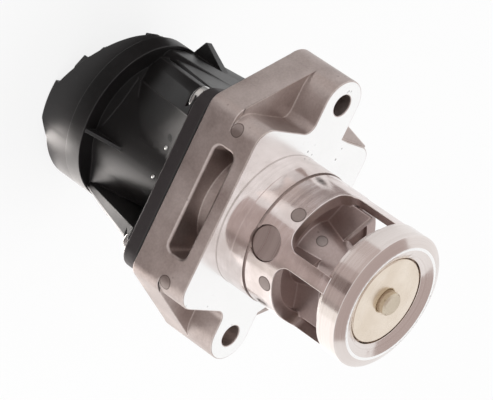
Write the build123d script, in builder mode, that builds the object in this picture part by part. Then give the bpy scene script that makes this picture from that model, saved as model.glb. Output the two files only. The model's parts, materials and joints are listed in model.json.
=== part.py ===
"""Motor-driven exhaust gas recirculation valve, in millimetres.

+Z runs along the valve axis towards the poppet. The origin is on that axis, in the
machined mounting face. The two mounting holes lie on a line along X.
"""
import os
from math import acos, atan2, copysign, cos, pi, radians, sin, sqrt, tan

from build123d import *

os.makedirs("parts", exist_ok=True)

# ---------------------------------------------------------------- driving dimensions
# Stations along the valve axis, from the poppet end down to the cap of the motor cover.
RING_FRONT = 50.0
RING_REAR = 41.4
WINDOW_SILL = 22.8
PILOT_TOP = 11.8
CASTING_BACK = -21.0
GASKET_THICK = 0.5
PLATE_BACK = -26.5
RIM_FRONT = -62.5
CAP_SEAT = -68.5
CAP_END = -81.5

# The turned nose that plugs into the exhaust duct.
PILOT_R = 22.0
CAGE_R = 21.7
CHAMBER_R = 17.8
RING_R = 21.9
RING_SPIGOT_R = 19.3
SEAT_THROAT_R = 12.6
WINDOW_HALF_WIDTH = 13.2
PLUG_R = 5.5

# The cast block and its two mounting ears.
HOLE_SPACING = 78.6
HOLE_Y = 8.2
HOLE_R = 3.5
EAR_R = 8.2
BODY_LEFT = -28.8
BODY_RIGHT = 31.4
FRONT_Y = -24.4
BACK_Y = 33.4
BAND_FACE = -10.2
POCKET_BACK = -12.7
POCKET_FRONT = -4.8
POCKET_DEPTH = 12.5
POCKET_EDGE_R = 1.0
POCKET_BULGE_R = 18.4

# Flange plate between the casting and the motor cover.
PLATE_LEFT = -29.2
PLATE_RIGHT = 31.0
PLATE_CORNER_R = 6.6

# Cover screws.
SCREW_X = 24.0
SCREW_FRONT_Y = -19.0
SCREW_BACK_Y = 27.5
SCREW_R = 2.0
SCREW_HEAD_R = 4.3
SCREW_HEAD_HEIGHT = 2.8

# The motor lies parallel to the valve, on the line of the mounting holes.
MOTOR_Y = 8.2
COVER_R = 21.5
COVER_WALL = 1.8
RIM_R = 27.0
CAN_R = 17.6
SHAFT_R = 1.5
MOTOR_PILOT_R = 12.4
CAN_FRONT = -27.6
CAN_REAR = -66.4
CAN_WALL = 1.2
SHAFT_REAR = -67.2
SHAFT_FRONT = -17.3
ARMATURE_REAR = -56.0
ARMATURE_FRONT = -33.0
ARMATURE_R = 14.2

# Motor cover: back gussets, thin rib, clearance over the screw heads.
GUSSET_INNER_X = 17.6
GUSSET_OUTER_X = 25.2
GUSSET_BACK_HEAD_Y = 21.4
THIN_RIB_X = 4.0
THIN_RIB = 1.2
SCREW_POCKET = 3.4
# Outlines of the front corners of the cover, as (x, y), at the plate and at the rim.
LEFT_CORNER_FOOT = (
    (-19.1, -24.2), (-25.5, -24.2), (-28.2, -21.5), (-28.2, -18.4), (-26.8, -18.0), (-26.8, -17.0),
    (-28.0, -16.6), (-27.5, 8.2), (-8.0, 8.2),
)
LEFT_CORNER_HEAD = (
    (-14.9, -5.3), (-20.2, -0.9), (-22.4, 1.5), (-23.0, 3.6), (-21.6, 4.0), (-21.6, 5.0),
    (-23.6, 5.4), (-25.0, 8.2), (-8.0, 8.2),
)
RIGHT_CORNER_FOOT = ((18.6, -24.3), (22.8, -24.2), (25.6, -21.5), (27.5, -8.0), (27.5, 8.2), (17.6, 8.2))
RIGHT_CORNER_HEAD = ((21.4, -4.6), (22.8, -4.9), (23.6, -3.8), (25.0, 0.0), (25.2, 8.2), (17.6, 8.2))
# Walls that close the left front gusset and both back gussets towards the round body.
FRONT_WALL_FOOT = ((0, -12.9), (-19.1, -23.8), (-19.1, 8.2), (0, 8.2))
FRONT_WALL_HEAD = ((0, -12.9), (-14.9, -5.3), (-14.9, 8.2), (0, 8.2))
BACK_WALL_FOOT = ((0, 29.3), (18.6, 31.4), (18.6, 8.2), (-18.6, 8.2), (-18.6, 31.4))
BACK_WALL_HEAD = ((0, 29.3), (18.6, 21.2), (18.6, 8.2), (-18.6, 8.2), (-18.6, 21.2))
# Where the round body widens to meet the right gusset under the rim.
BODY_SWELL_FOOT = ((6.0, -12.3), (17.6, -4.1), (17.6, 8.2), (0, 8.2))
BODY_SWELL_HEAD = ((6.0, -12.4), (21.4, -4.6), (21.4, 8.2), (0, 8.2))
BODY_SWELL_Z = -38.0
# Channel over the right screw, as (y, z).
SCREW_CHANNEL = ((-23.0, -26.5), (-14.7, -26.5), (-11.9, -46.5))
# Fin beside the left flank, as (x, z).
FIN_Y = 17.0
FIN_THICK = 3.0
FIN_OUTLINE = ((-17.0, -63.0), (-26.0, -63.0), (-30.3, -60.6), (-24.6, -48.7), (-17.0, -48.0))
# End cap: a flat to stand on, a step and a slope towards the left ear, and ribs on the slope as
# (angle round the cap, width, level of the top).
CAP_R = 26.4
CAP_OFFSET = (0.8, 0.7)
CAP_FLAT_X = -3.0
CAP_STEP = 1.6
CAP_SLOPE = 0.31
CAP_FALL_X = 9.0
CAP_FALL = 3.3
CAP_RIBS = ((242.0, 5.0, -78.5), (228.0, 4.0, -76.0), (180.0, 6.0, -74.8))
CONNECTOR_X = -3.0
CONNECTOR_Z = -54.0
CONNECTOR_MOUTH_Y = 40.0

# Stem, spring and cam.
LIFT = 6.0
CAM_TURN = radians(110.0)
LIFT_PER_RADIAN = LIFT / CAM_TURN
STEM_R = 3.0
STUB_R = 3.7
POPPET_R = 13.9
PIN_Z = -13.5
PIN_R = 1.0
ROLLER_R = 1.35
GROOVE_SLACK = 0.09
POPPET_FACE = 48.2
STUB_END = 50.7
STEM_FOOT = -16.5
RETAINER_TOP = -10.2
BUSH_R = 4.6
SEAL_R = 5.5
SEAL_TOP = 10.0
SPRING_R = 5.3
SPRING_WIRE = 1.1
SPRING_TURNS = 6.0
SLEEVE_R = 7.6
SLEEVE_BORE_R = 6.7
SLEEVE_TOP = 6.9
SLEEVE_FOOT = -17.0
HUB_R = 11.2
HUB_FOOT = -16.1
HUB_TOP = -5.2
GROOVE_R = 8.9
CHAMBER_GEAR_R = 15.6
RUNNING = 0.05
SEATED = 0.02

# Gear train: motor pinion, idler wheel, idler pinion, cam wheel.
MODULE = 0.6
PRESSURE_ANGLE = radians(25.0)
MOTOR_TEETH = 12
IDLER_WHEEL_TEETH = 36
IDLER_PINION_TEETH = 14
CAM_TEETH = 48
BACKLASH = 0.10
UPPER_LEVEL = (-20.5, -17.6)
LOWER_LEVEL = (-15.5, -11.0)

# ---------------------------------------------------------------- worked-out places
upper_centres = MODULE * (MOTOR_TEETH + IDLER_WHEEL_TEETH) / 2
lower_centres = MODULE * (IDLER_PINION_TEETH + CAM_TEETH) / 2
idler_y = (lower_centres**2 - upper_centres**2 + MOTOR_Y**2) / (2 * MOTOR_Y)
idler_x = sqrt(lower_centres**2 - idler_y**2)
idler_plane = Plane(origin=(idler_x, idler_y, 0))
motor_plane = Plane(origin=(0, MOTOR_Y, 0))
hole_x = HOLE_SPACING / 2
screw_places = [(x, y) for x in (-SCREW_X, SCREW_X) for y in (SCREW_FRONT_Y, SCREW_BACK_Y)]


def involute(angle):
    """Involute function, used for tooth thickness at any radius."""
    return tan(angle) - angle


def gear_points(teeth, turn=0.0):
    """Corners of a spur gear's outline, its first tooth centred on the angle turn."""
    pitch_r = MODULE * teeth / 2
    base_r = pitch_r * cos(PRESSURE_ANGLE)
    tip_r = pitch_r + 0.85 * MODULE
    root_r = pitch_r - 1.15 * MODULE
    half_at_pitch = pi / (2 * teeth) - BACKLASH / (4 * pitch_r)
    start_r = max(base_r, root_r)
    flank = []
    for step in range(4):
        radius = start_r + (tip_r - start_r) * step / 3
        half = half_at_pitch + involute(PRESSURE_ANGLE) - involute(acos(min(1.0, base_r / radius)))
        flank.append((radius, half))
    if root_r < start_r:
        flank.insert(0, (root_r, flank[0][1]))
    points = []
    for tooth in range(teeth):
        centre = turn + 2 * pi * tooth / teeth
        left = [(radius, centre - half) for radius, half in flank]
        right = [(radius, centre + half) for radius, half in reversed(flank)]
        points += [(radius * cos(angle), radius * sin(angle)) for radius, angle in left + right]
    return points


def meshed_turn(teeth, follower_teeth, turn, direction):
    """Turn of a follower gear whose gap faces a tooth of the gear along direction."""
    phase = (direction - turn) * teeth / (2 * pi)
    return direction + pi + 2 * pi * (phase - 0.5) / follower_teeth


cam_to_idler = atan2(idler_y, idler_x)
idler_to_motor = atan2(MOTOR_Y - idler_y, -idler_x)
cam_turn = 0.0
idler_pinion_turn = meshed_turn(CAM_TEETH, IDLER_PINION_TEETH, cam_turn, cam_to_idler)
idler_wheel_turn = 0.0
motor_pinion_turn = meshed_turn(IDLER_WHEEL_TEETH, MOTOR_TEETH, idler_wheel_turn, idler_to_motor)


# ---------------------------------------------------------------- cast housing
# Outline of the block and its ears where they meet the machined mounting face.
with BuildSketch() as mounting_outline:
    with BuildLine():
        Polyline(
            (BODY_LEFT, FRONT_Y), (BODY_RIGHT, FRONT_Y), (BODY_RIGHT, 16), (28.5, 20),
            (27, BACK_Y), (-26.5, BACK_Y), (-28, 20), (BODY_LEFT, 16), close=True
        )
    make_face()
    fillet(mounting_outline.vertices().group_by(Axis.Y)[0], 6.5)
    fillet(mounting_outline.vertices().group_by(Axis.Y)[-1], 5.0)
    with Locations((0, HOLE_Y)):
        SlotCenterToCenter(HOLE_SPACING, 2 * EAR_R)
    root_corners = mounting_outline.vertices().filter_by(
        lambda corner: abs(corner.Y - HOLE_Y + EAR_R) < 0.1 and abs(corner.X) < 35
    )
    fillet(root_corners, 3.5)

# Fuller outline of the back half: its sides run straight from the front corners to the ears.
with BuildSketch() as band_outline:
    with BuildLine():
        Polyline(
            (-28.5, FRONT_Y), (29.5, FRONT_Y), (46.4, 4.3), (46.4, HOLE_Y), (38, 16.4),
            (28, BACK_Y), (-28, BACK_Y), (-38, 16.4), (-46.4, HOLE_Y), (-46.4, 4.3), close=True
        )
    make_face()
    with Locations((-hole_x, HOLE_Y), (hole_x, HOLE_Y)):
        Circle(EAR_R)
    fillet(band_outline.vertices().group_by(Axis.Y)[0], 5.0)
    fillet(band_outline.vertices().group_by(Axis.Y)[-1], 6.0)

with BuildPart() as valve_housing:
    with BuildSketch(Plane.XY.offset(CASTING_BACK)):
        add(mounting_outline.sketch)
    extrude(amount=-CASTING_BACK)
    with BuildSketch(Plane.XY.offset(CASTING_BACK)):
        add(band_outline.sketch)
    extrude(amount=BAND_FACE - CASTING_BACK)
    # Webs behind the ears stop just short of the machined face.
    for side in (-1, 1):
        with BuildSketch(Plane.XY.offset(BAND_FACE - 1)):
            with BuildLine():
                Polyline(
                    (side * 34, 15), (side * 27, BACK_Y - 1.5), (side * 25, BACK_Y - 2),
                    (side * 25, 15), close=True
                )
            make_face()
        extrude(amount=-BAND_FACE - 0.2)
    # Nose: pilot, relief groove and cage as one turned cylinder.
    with BuildSketch():
        Circle(PILOT_R)
    extrude(amount=PILOT_TOP - 0.9)
    with BuildSketch(Plane.XY.offset(PILOT_TOP - 0.9)):
        Circle(CAGE_R - 0.7)
    extrude(amount=0.9)
    with BuildSketch(Plane.XY.offset(PILOT_TOP)):
        Circle(CAGE_R)
    extrude(amount=RING_REAR - PILOT_TOP)
    # Gas chamber: an annular space round the stem guide, open to the seat.
    with BuildSketch(Plane.XZ):
        with BuildLine():
            Polyline(
                (10.5, 19.0), (CHAMBER_R, 21.5), (CHAMBER_R, RING_REAR + 1), (0, RING_REAR + 1),
                (0, 33.5), (6.0, 33.5), close=True
            )
        make_face()
    revolve(axis=Axis.Z, mode=Mode.SUBTRACT)
    with BuildSketch(Plane.XY.offset(RING_REAR)):
        Circle(RING_SPIGOT_R + SEATED)
    extrude(amount=-2.6, mode=Mode.SUBTRACT)
    # Four gas windows with rounded sill corners; the webs between them carry the ring.
    for quarter in range(4):
        outward = Vector(1, 0, 0).rotate(Axis.Z, 45 + 90 * quarter)
        window_plane = Plane(origin=(0, 0, 0), x_dir=Vector(0, 0, 1).cross(outward), z_dir=outward)
        with BuildSketch(window_plane.offset(11.0)) as window:
            with Locations((0, (WINDOW_SILL + RING_REAR + 8) / 2)):
                Rectangle(2 * WINDOW_HALF_WIDTH, RING_REAR + 8 - WINDOW_SILL)
            fillet(window.vertices().group_by(Axis.Z)[0], 4.5)
        extrude(amount=13, mode=Mode.SUBTRACT)
    # Ribs that tie the stem guide to the webs.
    for quarter in range(4):
        outward = Vector(1, 0, 0).rotate(Axis.Z, 90 * quarter)
        rib_plane = Plane(origin=(0, 0, 0), x_dir=outward, z_dir=outward.cross(Vector(0, 0, 1)))
        with BuildSketch(rib_plane):
            with BuildLine():
                Polyline((5.0, 18.0), (18.6, 18.0), (18.6, 32.0), (6.0, 26.0), close=True)
            make_face()
        extrude(amount=1.3, both=True)
    # Cross hole in the nose, closed by a plug, with a shallow spot face round it.
    with BuildSketch(Plane.XZ.offset(30)):
        with Locations((0, 16.0)):
            Circle(PLUG_R + SEATED)
    extrude(amount=-13.0, mode=Mode.SUBTRACT)
    # Core pocket in the front wall; the round gear chamber bulges in its floor.
    with BuildSketch(Plane.XZ.offset(-FRONT_Y + 1)):
        with Locations((0.4, (POCKET_BACK + POCKET_FRONT) / 2)):
            RectangleRounded(35.6, POCKET_FRONT - POCKET_BACK, 2.4)
    extrude(amount=-POCKET_DEPTH - 1, taper=5, mode=Mode.SUBTRACT)
    pocket_mouth = valve_housing.edges().filter_by(
        lambda edge: abs(edge.center().Y - FRONT_Y) < 0.01
        and abs(edge.center().X) < 19 and POCKET_BACK - 0.1 < edge.center().Z < POCKET_FRONT + 0.1
    )
    fillet(pocket_mouth, POCKET_EDGE_R)
    with BuildSketch(Plane.XY.offset(POCKET_BACK - 1)):
        Circle(POCKET_BULGE_R)
    extrude(amount=POCKET_FRONT - POCKET_BACK + 2)
    # Mounting holes.
    with BuildSketch(Plane.XY.offset(CASTING_BACK - 1)):
        with Locations((-hole_x, HOLE_Y), (hole_x, HOLE_Y)):
            Circle(HOLE_R)
    extrude(amount=2 - CASTING_BACK, mode=Mode.SUBTRACT)
    # Gear chamber, open towards the motor.
    with BuildSketch(Plane.XY.offset(CASTING_BACK)):
        Circle(CHAMBER_GEAR_R)
    extrude(amount=16.2, mode=Mode.SUBTRACT)
    with BuildSketch(Plane.XY.offset(CASTING_BACK)):
        with Locations((idler_x, idler_y)):
            Circle(12.0)
        with Locations((0, MOTOR_Y)):
            Circle(13.0)
    extrude(amount=-16.8 - CASTING_BACK, mode=Mode.SUBTRACT)
    with BuildSketch(Plane.XY.offset(CASTING_BACK)):
        with Locations((idler_x, idler_y)):
            Circle(5.4)
    extrude(amount=-10.4 - CASTING_BACK, mode=Mode.SUBTRACT)
    # Bores on the valve axis: spring bore, seal bore, guide bore.
    with BuildSketch(Plane.XY.offset(-6)):
        Circle(SLEEVE_R + SEATED)
    extrude(amount=SLEEVE_TOP + 6, mode=Mode.SUBTRACT)
    with BuildSketch(Plane.XY.offset(SLEEVE_TOP - 0.5)):
        Circle(SEAL_R + SEATED)
    extrude(amount=SEAL_TOP - SLEEVE_TOP + 0.5, mode=Mode.SUBTRACT)
    with BuildSketch(Plane.XY.offset(SEAL_TOP - 0.5)):
        Circle(BUSH_R + SEATED)
    extrude(amount=26.0, mode=Mode.SUBTRACT)
    # Idler axle hole and blind screw holes.
    with BuildSketch(Plane.XY.offset(-11)):
        with Locations((idler_x, idler_y)):
            Circle(SHAFT_R + SEATED)
    extrude(amount=5.0, mode=Mode.SUBTRACT)
    with BuildSketch(Plane.XY.offset(CASTING_BACK)):
        with Locations(*screw_places):
            Circle(SCREW_R + RUNNING)
    extrude(amount=10.5, mode=Mode.SUBTRACT)
valve_housing.part.label = "valve_housing"
export_step(valve_housing.part, "parts/valve_housing.step")

with BuildPart() as seat_ring:
    with BuildSketch(Plane.XZ):
        with BuildLine():
            Polyline(
                (SEAT_THROAT_R, RING_REAR - 2.5), (RING_SPIGOT_R, RING_REAR - 2.5), (RING_SPIGOT_R, RING_REAR),
                (RING_R, RING_REAR), (RING_R, RING_FRONT - 1.6), (18.7, RING_FRONT), (17.0, RING_FRONT),
                (14.3, 48.2), (14.3, 47.2), (SEAT_THROAT_R, 47.2 - 14.3 + SEAT_THROAT_R), close=True
            )
        make_face()
    revolve(axis=Axis.Z)
seat_ring.part.label = "seat_ring"
export_step(seat_ring.part, "parts/seat_ring.step")

with BuildPart() as cross_hole_plug:
    with BuildSketch(Plane.XZ.offset(20.7)):
        with Locations((0, 16.0)):
            Circle(PLUG_R)
    extrude(amount=-3.7)
    chamfer(cross_hole_plug.edges().filter_by(GeomType.CIRCLE).sort_by(Axis.Y)[0], 0.4)
cross_hole_plug.part.label = "cross_hole_plug"
export_step(cross_hole_plug.part, "parts/cross_hole_plug.step")

with BuildPart() as stem_guide_bush:
    with BuildSketch(Plane.XY.offset(SEAL_TOP)):
        Circle(BUSH_R)
        Circle(STEM_R + 0.03, mode=Mode.SUBTRACT)
    extrude(amount=34.2 - SEAL_TOP)
    chamfer(stem_guide_bush.edges().group_by(Axis.Z)[-1].sort_by(SortBy.LENGTH)[-1], 0.5)
stem_guide_bush.part.label = "stem_guide_bush"
export_step(stem_guide_bush.part, "parts/stem_guide_bush.step")

with BuildPart() as stem_seal:
    with BuildSketch(Plane.XZ):
        with BuildLine():
            Polyline(
                (SEAL_R, SLEEVE_TOP + 0.02), (SEAL_R, SEAL_TOP - 0.02), (4.2, SEAL_TOP - 0.02),
                (4.2, 8.9), (3.4, 7.9), (STEM_R + RUNNING, 7.6), (STEM_R + RUNNING, SLEEVE_TOP + 0.02), close=True
            )
        make_face()
    revolve(axis=Axis.Z)
stem_seal.part.label = "stem_seal"
export_step(stem_seal.part, "parts/stem_seal.step")

# ---------------------------------------------------------------- valve and return spring
with BuildPart() as valve_stem:
    with BuildSketch(Plane.XZ):
        with BuildLine():
            Polyline(
                (0, STEM_FOOT), (2.4, STEM_FOOT), (STEM_R, STEM_FOOT + 0.6), (STEM_R, 43.0), (STUB_R, 44.2),
                (STUB_R, 50.1), (3.2, STUB_END), (0, STUB_END), close=True
            )
        make_face()
    revolve(axis=Axis.Z)
    with BuildSketch(Plane.XZ.offset(-8)):
        with Locations((0, PIN_Z)):
            Circle(PIN_R + SEATED)
    extrude(amount=16, mode=Mode.SUBTRACT)
valve_stem.part.label = "valve_stem"
export_step(valve_stem.part, "parts/valve_stem.step")

with BuildPart() as poppet_disc:
    with BuildSketch(Plane.XZ):
        with BuildLine():
            Polyline((STUB_R + SEATED, 44.3), (6.0, 44.3), (12.3, 45.3), (POPPET_R, 46.9))
            Line((POPPET_R, 46.9), (POPPET_R, 47.9))
            Line((POPPET_R, 47.9), (13.6, POPPET_FACE))
            Polyline(
                (13.6, POPPET_FACE), (STUB_R + 0.8, POPPET_FACE), (STUB_R + SEATED, POPPET_FACE - 0.5),
                (STUB_R + SEATED, 44.3)
            )
        make_face()
    revolve(axis=Axis.Z)
poppet_disc.part.label = "poppet_disc"
export_step(poppet_disc.part, "parts/poppet_disc.step")

with BuildPart() as spring_retainer:
    with BuildSketch(Plane.XZ):
        with BuildLine():
            Polyline(
                (STEM_R + SEATED, -12.2), (4.4, -12.2), (6.3, -11.2), (6.3, RETAINER_TOP), (4.6, RETAINER_TOP),
                (4.2, RETAINER_TOP + 0.9), (STEM_R + SEATED, RETAINER_TOP + 0.9), close=True
            )
        make_face()
    revolve(axis=Axis.Z)
spring_retainer.part.label = "spring_retainer"
export_step(spring_retainer.part, "parts/spring_retainer.step")

with BuildPart() as spring_seat:
    with BuildSketch(Plane.XY.offset(SLEEVE_TOP - 1.0)):
        Circle(SLEEVE_BORE_R - 0.1)
        Circle(3.6, mode=Mode.SUBTRACT)
    extrude(amount=1.0)
spring_seat.part.label = "spring_seat"
export_step(spring_seat.part, "parts/spring_seat.step")

spring_length = SLEEVE_TOP - 1.0 - RETAINER_TOP - 0.2 - SPRING_WIRE
with BuildPart() as return_spring:
    with BuildLine() as spring_path:
        Helix(
            pitch=spring_length / SPRING_TURNS, height=spring_length, radius=SPRING_R,
            center=(0, 0, RETAINER_TOP + 0.1 + SPRING_WIRE / 2)
        )
    with BuildSketch(Plane(origin=spring_path.line @ 0, z_dir=spring_path.line % 0)):
        RegularPolygon(SPRING_WIRE / 2, 8)
    sweep(is_frenet=True)
return_spring.part.label = "return_spring"
export_step(return_spring.part, "parts/return_spring.step")

with BuildPart() as cross_pin:
    with BuildSketch(Plane.XZ.offset(-10.0)):
        with Locations((0, PIN_Z)):
            Circle(PIN_R)
    extrude(amount=20.0)
cross_pin.part.label = "cross_pin"
export_step(cross_pin.part, "parts/cross_pin.step")

with BuildPart() as pin_rollers:
    for side in (-1, 1):
        with BuildSketch(Plane.XZ.offset(-side * 8.9)):
            with Locations((0, PIN_Z)):
                Circle(ROLLER_R)
                Circle(PIN_R + SEATED, mode=Mode.SUBTRACT)
        extrude(amount=1.05, both=True)
pin_rollers.part.label = "pin_rollers"
export_step(pin_rollers.part, "parts/pin_rollers.step")

with BuildPart() as sensor_magnet:
    with BuildSketch(Plane.XY.offset(STEM_FOOT)):
        Circle(2.4)
    extrude(amount=-0.9)
sensor_magnet.part.label = "sensor_magnet"
export_step(sensor_magnet.part, "parts/sensor_magnet.step")

# ---------------------------------------------------------------- cam and gear train
# The guide sleeve is fixed; its two straight slots keep the cross pin from turning.
with BuildPart() as guide_sleeve:
    with BuildSketch(Plane.XY.offset(SLEEVE_FOOT)):
        Circle(SLEEVE_R)
        Circle(SLEEVE_BORE_R, mode=Mode.SUBTRACT)
    extrude(amount=SLEEVE_TOP - SLEEVE_FOOT)
    with BuildSketch(Plane.XZ.offset(-9)):
        with Locations((0, PIN_Z + LIFT / 2)):
            SlotCenterToCenter(LIFT + 0.2, 2 * (PIN_R + RUNNING), rotation=90)
    extrude(amount=18, mode=Mode.SUBTRACT)
guide_sleeve.part.label = "guide_sleeve"
export_step(guide_sleeve.part, "parts/guide_sleeve.step")

# The cam wheel turns on the sleeve; two helical grooves in its bore carry the rollers.
groove_overrun = radians(1.5)
groove_foot = PIN_Z - groove_overrun * LIFT_PER_RADIAN
with BuildPart() as groove_cutter:
    with BuildLine() as groove_path:
        Helix(
            pitch=2 * pi * LIFT_PER_RADIAN, height=(CAM_TURN + 2 * groove_overrun) * LIFT_PER_RADIAN,
            radius=GROOVE_R, lefthand=True, center=(0, 0, groove_foot)
        )
    with BuildSketch(Plane(origin=groove_path.line @ 0, x_dir=(1, 0, 0), z_dir=groove_path.line % 0)):
        Rectangle(3.0, 2 * (ROLLER_R + GROOVE_SLACK))
    sweep(is_frenet=True)

with BuildPart() as cam_gear:
    with BuildSketch(Plane.XY.offset(HUB_FOOT)):
        Circle(HUB_R)
        Circle(SLEEVE_R + RUNNING, mode=Mode.SUBTRACT)
    extrude(amount=HUB_TOP - HUB_FOOT)
    with BuildSketch(Plane.XY.offset(LOWER_LEVEL[0])):
        with BuildLine():
            Polyline(*gear_points(CAM_TEETH, cam_turn), close=True)
        make_face()
        Circle(HUB_R - 0.5, mode=Mode.SUBTRACT)
    extrude(amount=LOWER_LEVEL[1] - LOWER_LEVEL[0])
    for side in (90, 270):
        add(groove_cutter.part, rotation=(0, 0, side), mode=Mode.SUBTRACT)
        for groove_end in (groove_path.line @ 0, groove_path.line @ 1):
            centre = Vector(groove_end).rotate(Axis.Z, side)
            outward = Vector(centre.X, centre.Y, 0).normalized()
            with BuildSketch(Plane(origin=centre - outward * 2, z_dir=outward)):
                Circle(ROLLER_R + GROOVE_SLACK + 0.01)
            extrude(amount=3.55, mode=Mode.SUBTRACT)
cam_gear.part.label = "cam_gear"
export_step(cam_gear.part, "parts/cam_gear.step")

with BuildPart() as cam_retaining_ring:
    with BuildSketch(Plane.XY.offset(HUB_FOOT - 0.75)):
        Circle(9.0)
        Circle(SLEEVE_R + SEATED, mode=Mode.SUBTRACT)
        with Locations((0, -9)):
            Rectangle(4.0, 5.0, mode=Mode.SUBTRACT)
    extrude(amount=0.6)
cam_retaining_ring.part.label = "cam_retaining_ring"
export_step(cam_retaining_ring.part, "parts/cam_retaining_ring.step")

with BuildPart() as idler_gear:
    with BuildSketch(idler_plane.offset(UPPER_LEVEL[0])):
        with BuildLine():
            Polyline(*gear_points(IDLER_WHEEL_TEETH, idler_wheel_turn), close=True)
        make_face()
        with PolarLocations(7.2, 6):
            Circle(2.0, mode=Mode.SUBTRACT)
    extrude(amount=UPPER_LEVEL[1] - UPPER_LEVEL[0])
    with BuildSketch(idler_plane.offset(UPPER_LEVEL[1])):
        Circle(3.4)
    extrude(amount=LOWER_LEVEL[0] - UPPER_LEVEL[1])
    with BuildSketch(idler_plane.offset(LOWER_LEVEL[0])):
        with BuildLine():
            Polyline(*gear_points(IDLER_PINION_TEETH, idler_pinion_turn), close=True)
        make_face()
    extrude(amount=LOWER_LEVEL[1] - LOWER_LEVEL[0])
    with BuildSketch(idler_plane.offset(UPPER_LEVEL[0])):
        Circle(SHAFT_R + RUNNING)
    extrude(amount=LOWER_LEVEL[1] - UPPER_LEVEL[0], mode=Mode.SUBTRACT)
idler_gear.part.label = "idler_gear"
export_step(idler_gear.part, "parts/idler_gear.step")

with BuildPart() as idler_axle:
    with BuildSketch(idler_plane.offset(-22.9)):
        Circle(SHAFT_R)
    extrude(amount=22.9 - 6.1)
    chamfer(idler_axle.edges().filter_by(GeomType.CIRCLE), 0.25)
idler_axle.part.label = "idler_axle"
export_step(idler_axle.part, "parts/idler_axle.step")

# ---------------------------------------------------------------- motor
with BuildPart() as motor_pinion:
    with BuildSketch(motor_plane.offset(UPPER_LEVEL[0])):
        with BuildLine():
            Polyline(*gear_points(MOTOR_TEETH, motor_pinion_turn), close=True)
        make_face()
        Circle(SHAFT_R + SEATED, mode=Mode.SUBTRACT)
    extrude(amount=UPPER_LEVEL[1] - UPPER_LEVEL[0])
motor_pinion.part.label = "motor_pinion"
export_step(motor_pinion.part, "parts/motor_pinion.step")

with BuildPart() as motor_shaft:
    with BuildSketch(motor_plane.offset(SHAFT_REAR)):
        Circle(SHAFT_R)
    extrude(amount=SHAFT_FRONT - SHAFT_REAR)
    chamfer(motor_shaft.edges().filter_by(GeomType.CIRCLE), 0.25)
motor_shaft.part.label = "motor_shaft"
export_step(motor_shaft.part, "parts/motor_shaft.step")

with BuildPart() as motor_armature:
    with BuildSketch(motor_plane.offset(ARMATURE_REAR)):
        Circle(ARMATURE_R)
        with PolarLocations(11.0, 5):
            SlotCenterToCenter(5.0, 2.6, mode=Mode.SUBTRACT)
        with PolarLocations(13.6, 5):
            Rectangle(3.0, 1.4, mode=Mode.SUBTRACT)
        Circle(SHAFT_R + SEATED, mode=Mode.SUBTRACT)
    extrude(amount=ARMATURE_FRONT - ARMATURE_REAR)
motor_armature.part.label = "motor_armature"
export_step(motor_armature.part, "parts/motor_armature.step")

with BuildPart() as armature_windings:
    for low, high in ((ARMATURE_REAR - 3.5, ARMATURE_REAR), (ARMATURE_FRONT, ARMATURE_FRONT + 3.5)):
        with BuildSketch(motor_plane.offset(low)):
            Circle(11.8)
            Circle(4.0, mode=Mode.SUBTRACT)
        extrude(amount=high - low)
    fillet(armature_windings.edges().filter_by(GeomType.CIRCLE), 1.2)
armature_windings.part.label = "armature_windings"
export_step(armature_windings.part, "parts/armature_windings.step")

with BuildPart() as commutator:
    with BuildSketch(motor_plane.offset(-63.6)):
        Circle(4.6)
        Circle(SHAFT_R + SEATED, mode=Mode.SUBTRACT)
        with PolarLocations(4.6, 5):
            Rectangle(1.2, 0.5, mode=Mode.SUBTRACT)
    extrude(amount=4.0)
commutator.part.label = "commutator"
export_step(commutator.part, "parts/commutator.step")

with BuildPart() as motor_magnets:
    with BuildSketch(motor_plane.offset(-57.0)):
        Circle(CAN_R - 1.25)
        Circle(14.6, mode=Mode.SUBTRACT)
        with BuildLine():
            Polyline((0, 0), (30, 13), (30, 40), (-30, 40), (-30, 13), close=True)
        make_face(mode=Mode.INTERSECT)
    extrude(amount=25.0)
    mirror(about=motor_plane.rotated((90, 0, 0)))
motor_magnets.part.label = "motor_magnets"
export_step(motor_magnets.part, "parts/motor_magnets.step")

with BuildPart() as motor_can:
    with BuildSketch(motor_plane.offset(CAN_REAR)):
        Circle(CAN_R)
    extrude(amount=CAN_FRONT - CAN_REAR)
    fillet(motor_can.edges().filter_by(GeomType.CIRCLE).group_by(Axis.Z)[0], 2.0)
    with BuildSketch(motor_plane.offset(CAN_REAR + CAN_WALL)):
        Circle(CAN_R - CAN_WALL)
    extrude(amount=CAN_FRONT - CAN_REAR, mode=Mode.SUBTRACT)
    with BuildSketch(motor_plane.offset(CAN_REAR - 2.0)):
        Circle(5.2)
    extrude(amount=3.2)
    with BuildSketch(motor_plane.offset(CAN_REAR - 1.0)):
        Circle(4.0 + SEATED)
    extrude(amount=3.0, mode=Mode.SUBTRACT)
motor_can.part.label = "motor_can"
export_step(motor_can.part, "parts/motor_can.step")

with BuildPart() as brush_holder:
    with BuildSketch(motor_plane.offset(-64.2)):
        Circle(CAN_R - 1.25)
        Circle(5.0, mode=Mode.SUBTRACT)
    extrude(amount=1.2)
    for side in (-1, 1):
        with BuildSketch(Plane(origin=(0, MOTOR_Y + side * 10.0, -63.0))):
            Rectangle(5.4, 7.0)
            Rectangle(3.64, 7.0, mode=Mode.SUBTRACT)
        extrude(amount=3.0)
brush_holder.part.label = "brush_holder"
export_step(brush_holder.part, "parts/brush_holder.step")

with BuildPart() as motor_brushes:
    for side in (-1, 1):
        with BuildSketch(Plane(origin=(0, MOTOR_Y + side * 8.3, -62.9))):
            Rectangle(3.6, 7.2)
        extrude(amount=2.6)
motor_brushes.part.label = "motor_brushes"
export_step(motor_brushes.part, "parts/motor_brushes.step")

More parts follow.
